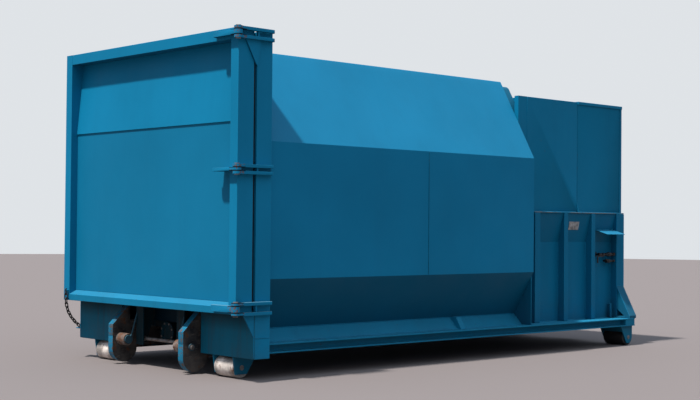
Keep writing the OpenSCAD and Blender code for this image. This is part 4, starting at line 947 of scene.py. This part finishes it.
# %% [markdown]
# ## Quick couplings and the pump's motor
# The hoses of a loading station plug into two quick couplings on the packer's side. Each is a steel body with a
# knurled sleeve and a groove for its locking ring. In the cabinet, the power unit's motor has cooling fins and a
# fan cover. Both are turned shapes: the knurls and fins are a small wave in the radius round the axis.

# %% Ridged turned shapes
def ridged(profile, centre, axis, steps, ridges, depth, band):
    """Turned shape whose radius between the places band[0] and band[1] is r - depth * (0.5 - 0.5 cos(ridges a))^2."""
    points, faces = turned(profile, centre, axis, steps, closed=False)
    centre = np.asarray(centre, dtype=float)
    local = points - centre
    u, v = (axis + 1) % 3, (axis + 2) % 3
    a = np.arctan2(local[:, v], local[:, u])
    r = np.hypot(local[:, u], local[:, v])
    inside = (local[:, axis] > band[0]) & (local[:, axis] < band[1]) & (r > 0.001)
    shrink = np.where(inside, 1 - depth * (0.5 - 0.5 * np.cos(ridges * a)) ** 2 / np.maximum(r, 1e-4), 1.0)
    local[:, u] *= shrink
    local[:, v] *= shrink
    return local + centre, faces


pipe_y, pipe_z = -(wall_half + 0.052), 0.905
pipe_x = face_x + packer_end - 0.396
sleeve = [(0.0002, 0), (0.0185, 0), (0.0195, 0.002), (0.0195, 0.012), (0.0165, 0.013), (0.0165, 0.017),
          (0.0200, 0.018), (0.0200, 0.050), (0.0185, 0.052), (0.0002, 0.052)]
parts = [ridged(sleeve, (pipe_x + c, pipe_y, z), 0, 72, 24, 0.0012, (0.019, 0.049))
         for c, z in ((0.146, pipe_z), (0.128, pipe_z - 0.066))]
fasteners("coupling_sleeves", parts, coupling_steel, "container", "black_paint")

# %% The motor's fins and fan cover
unit_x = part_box("power_unit")[0][0]
motor = (unit_x + 0.060, -0.120, deck_top + 0.420)
fin_r = 0.118
fins = [(0.0002, 0.030), (fin_r, 0.030), *[(fin_r, t) for t in np.linspace(0.034, 0.228, 9)], (fin_r, 0.232),
        (0.0002, 0.232)]
cover = [(0.0002, -0.046), (0.060, -0.046), (0.090, -0.040), (0.108, -0.022), (0.112, -0.002), (0.112, 0.024),
         (0.0002, 0.024)]
parts = [ridged(fins, motor, 0, 160, 40, 0.011, (0.028, 0.236)), turned(cover, motor, 0, 48, closed=False)]
new_piece("motor_fins", *together(parts), black, "container", "black_paint", sharp=30)
tank_top = deck_top + 0.300
parts = [hex_head((unit_x + 0.030 + 0.1 * i, y, tank_top - 0.0004), 2, 0.010, 0.006, 1)
         for i in range(4) for y in (-0.310, 0.310)]
filler = [(0.0002, 0), (0.034, 0), (0.034, 0.012), (0.030, 0.014), (0.030, 0.040), (0.026, 0.044), (0.0002, 0.044)]
parts.append(ridged(filler, (unit_x + 0.060, 0.270, tank_top - 0.0004), 2, 60, 20, 0.002, (0.015, 0.041)))
fasteners("tank_fittings", parts, nut_steel, "container")

# %% Quarter-turn locks of the service door
low, high = (np.array(p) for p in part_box("service_door"))
face_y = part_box("cabinet")[1][1] - 0.012 + 0.023
knob = [(0.0002, 0), (0.016, 0), (0.016, 0.003), (0.011, 0.006), (0.011, 0.012), (0.008, 0.014), (0.0002, 0.014)]
parts = [turned(knob, (low[0] + 0.028, face_y - 0.0004, z), 1, 32, closed=False)
         for z in (low[2] + 0.150, high[2] - 0.150)]
fasteners("hatch_locks", parts, nut_steel, "hatch")

# %% [markdown]
# ## The rubber seal
# The door closes on a rubber ring. A moulded seal isn't a square bar: it has two soft lips with a hollow between
# them, which fold flat as the door shuts. Its profile, a wave across the width, is carried round the four sides
# of the frame and meets itself at the corners.

# %% The lipped ring
def lipped_ring(box_low, box_high, width, lip):
    """Ring round a rectangle: at the place w from 0 (outer) to 1 (inner) its front stands
    lip * (0.5 - 0.5 cos(4 pi w)) behind the front plane, and each corner is the same profile on the diagonal."""
    w = np.linspace(0, 1, 13)
    x_back, x_front = box_low[0], box_high[0]
    front = x_front - lip * (0.5 - 0.5 * np.cos(4 * np.pi * w))
    inset = w * width
    corners = np.array([(box_low[1], box_low[2], 1, 1), (box_high[1], box_low[2], -1, 1),
                        (box_high[1], box_high[2], -1, -1), (box_low[1], box_high[2], 1, -1)])
    y = corners[:, 0][:, None] + corners[:, 2][:, None] * inset
    z = corners[:, 1][:, None] + corners[:, 3][:, None] * inset
    lip_line = np.stack([np.broadcast_to(front, y.shape), y, z], axis=2)
    foot_line = np.stack([np.full_like(y, x_back), y, z], axis=2)
    ring = np.concatenate([lip_line, foot_line[:, ::-1]], axis=1)
    return ring.reshape(-1, 3), grid_faces(4, ring.shape[1], round_rows=True, round_cols=True)


low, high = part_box("door_seal")
points, faces = lipped_ring(low, high, 0.040, 0.007)
new_piece("door_seal_lips", points, faces, rubber, "door", "seal_rubber", ("door_seal",), sharp=60)
print("seal ring", len(faces), "faces")

# %% Materials for the parts that stay as they are
plain = {"hinge_pins": pin_steel, "strike_pins": pin_steel, "keeper_chain": chain_metal, "nose_shaft": pin_steel,
         "nose_pins": paint_stay, "roller_axles": pin_steel, "label_plate": plate_metal,
         "cabinet_hinges": pin_steel, "ram_cylinder": black, "cylinder_stage": clean_steel,
         "floor_panel": paint_low, "hose_couplings": coupling_steel}
for name, material in plain.items():
    mesh = frame["nodes"][name].data
    mesh.materials.clear()
    mesh.materials.append(material)
print("finished", len(plain), "parts in place")
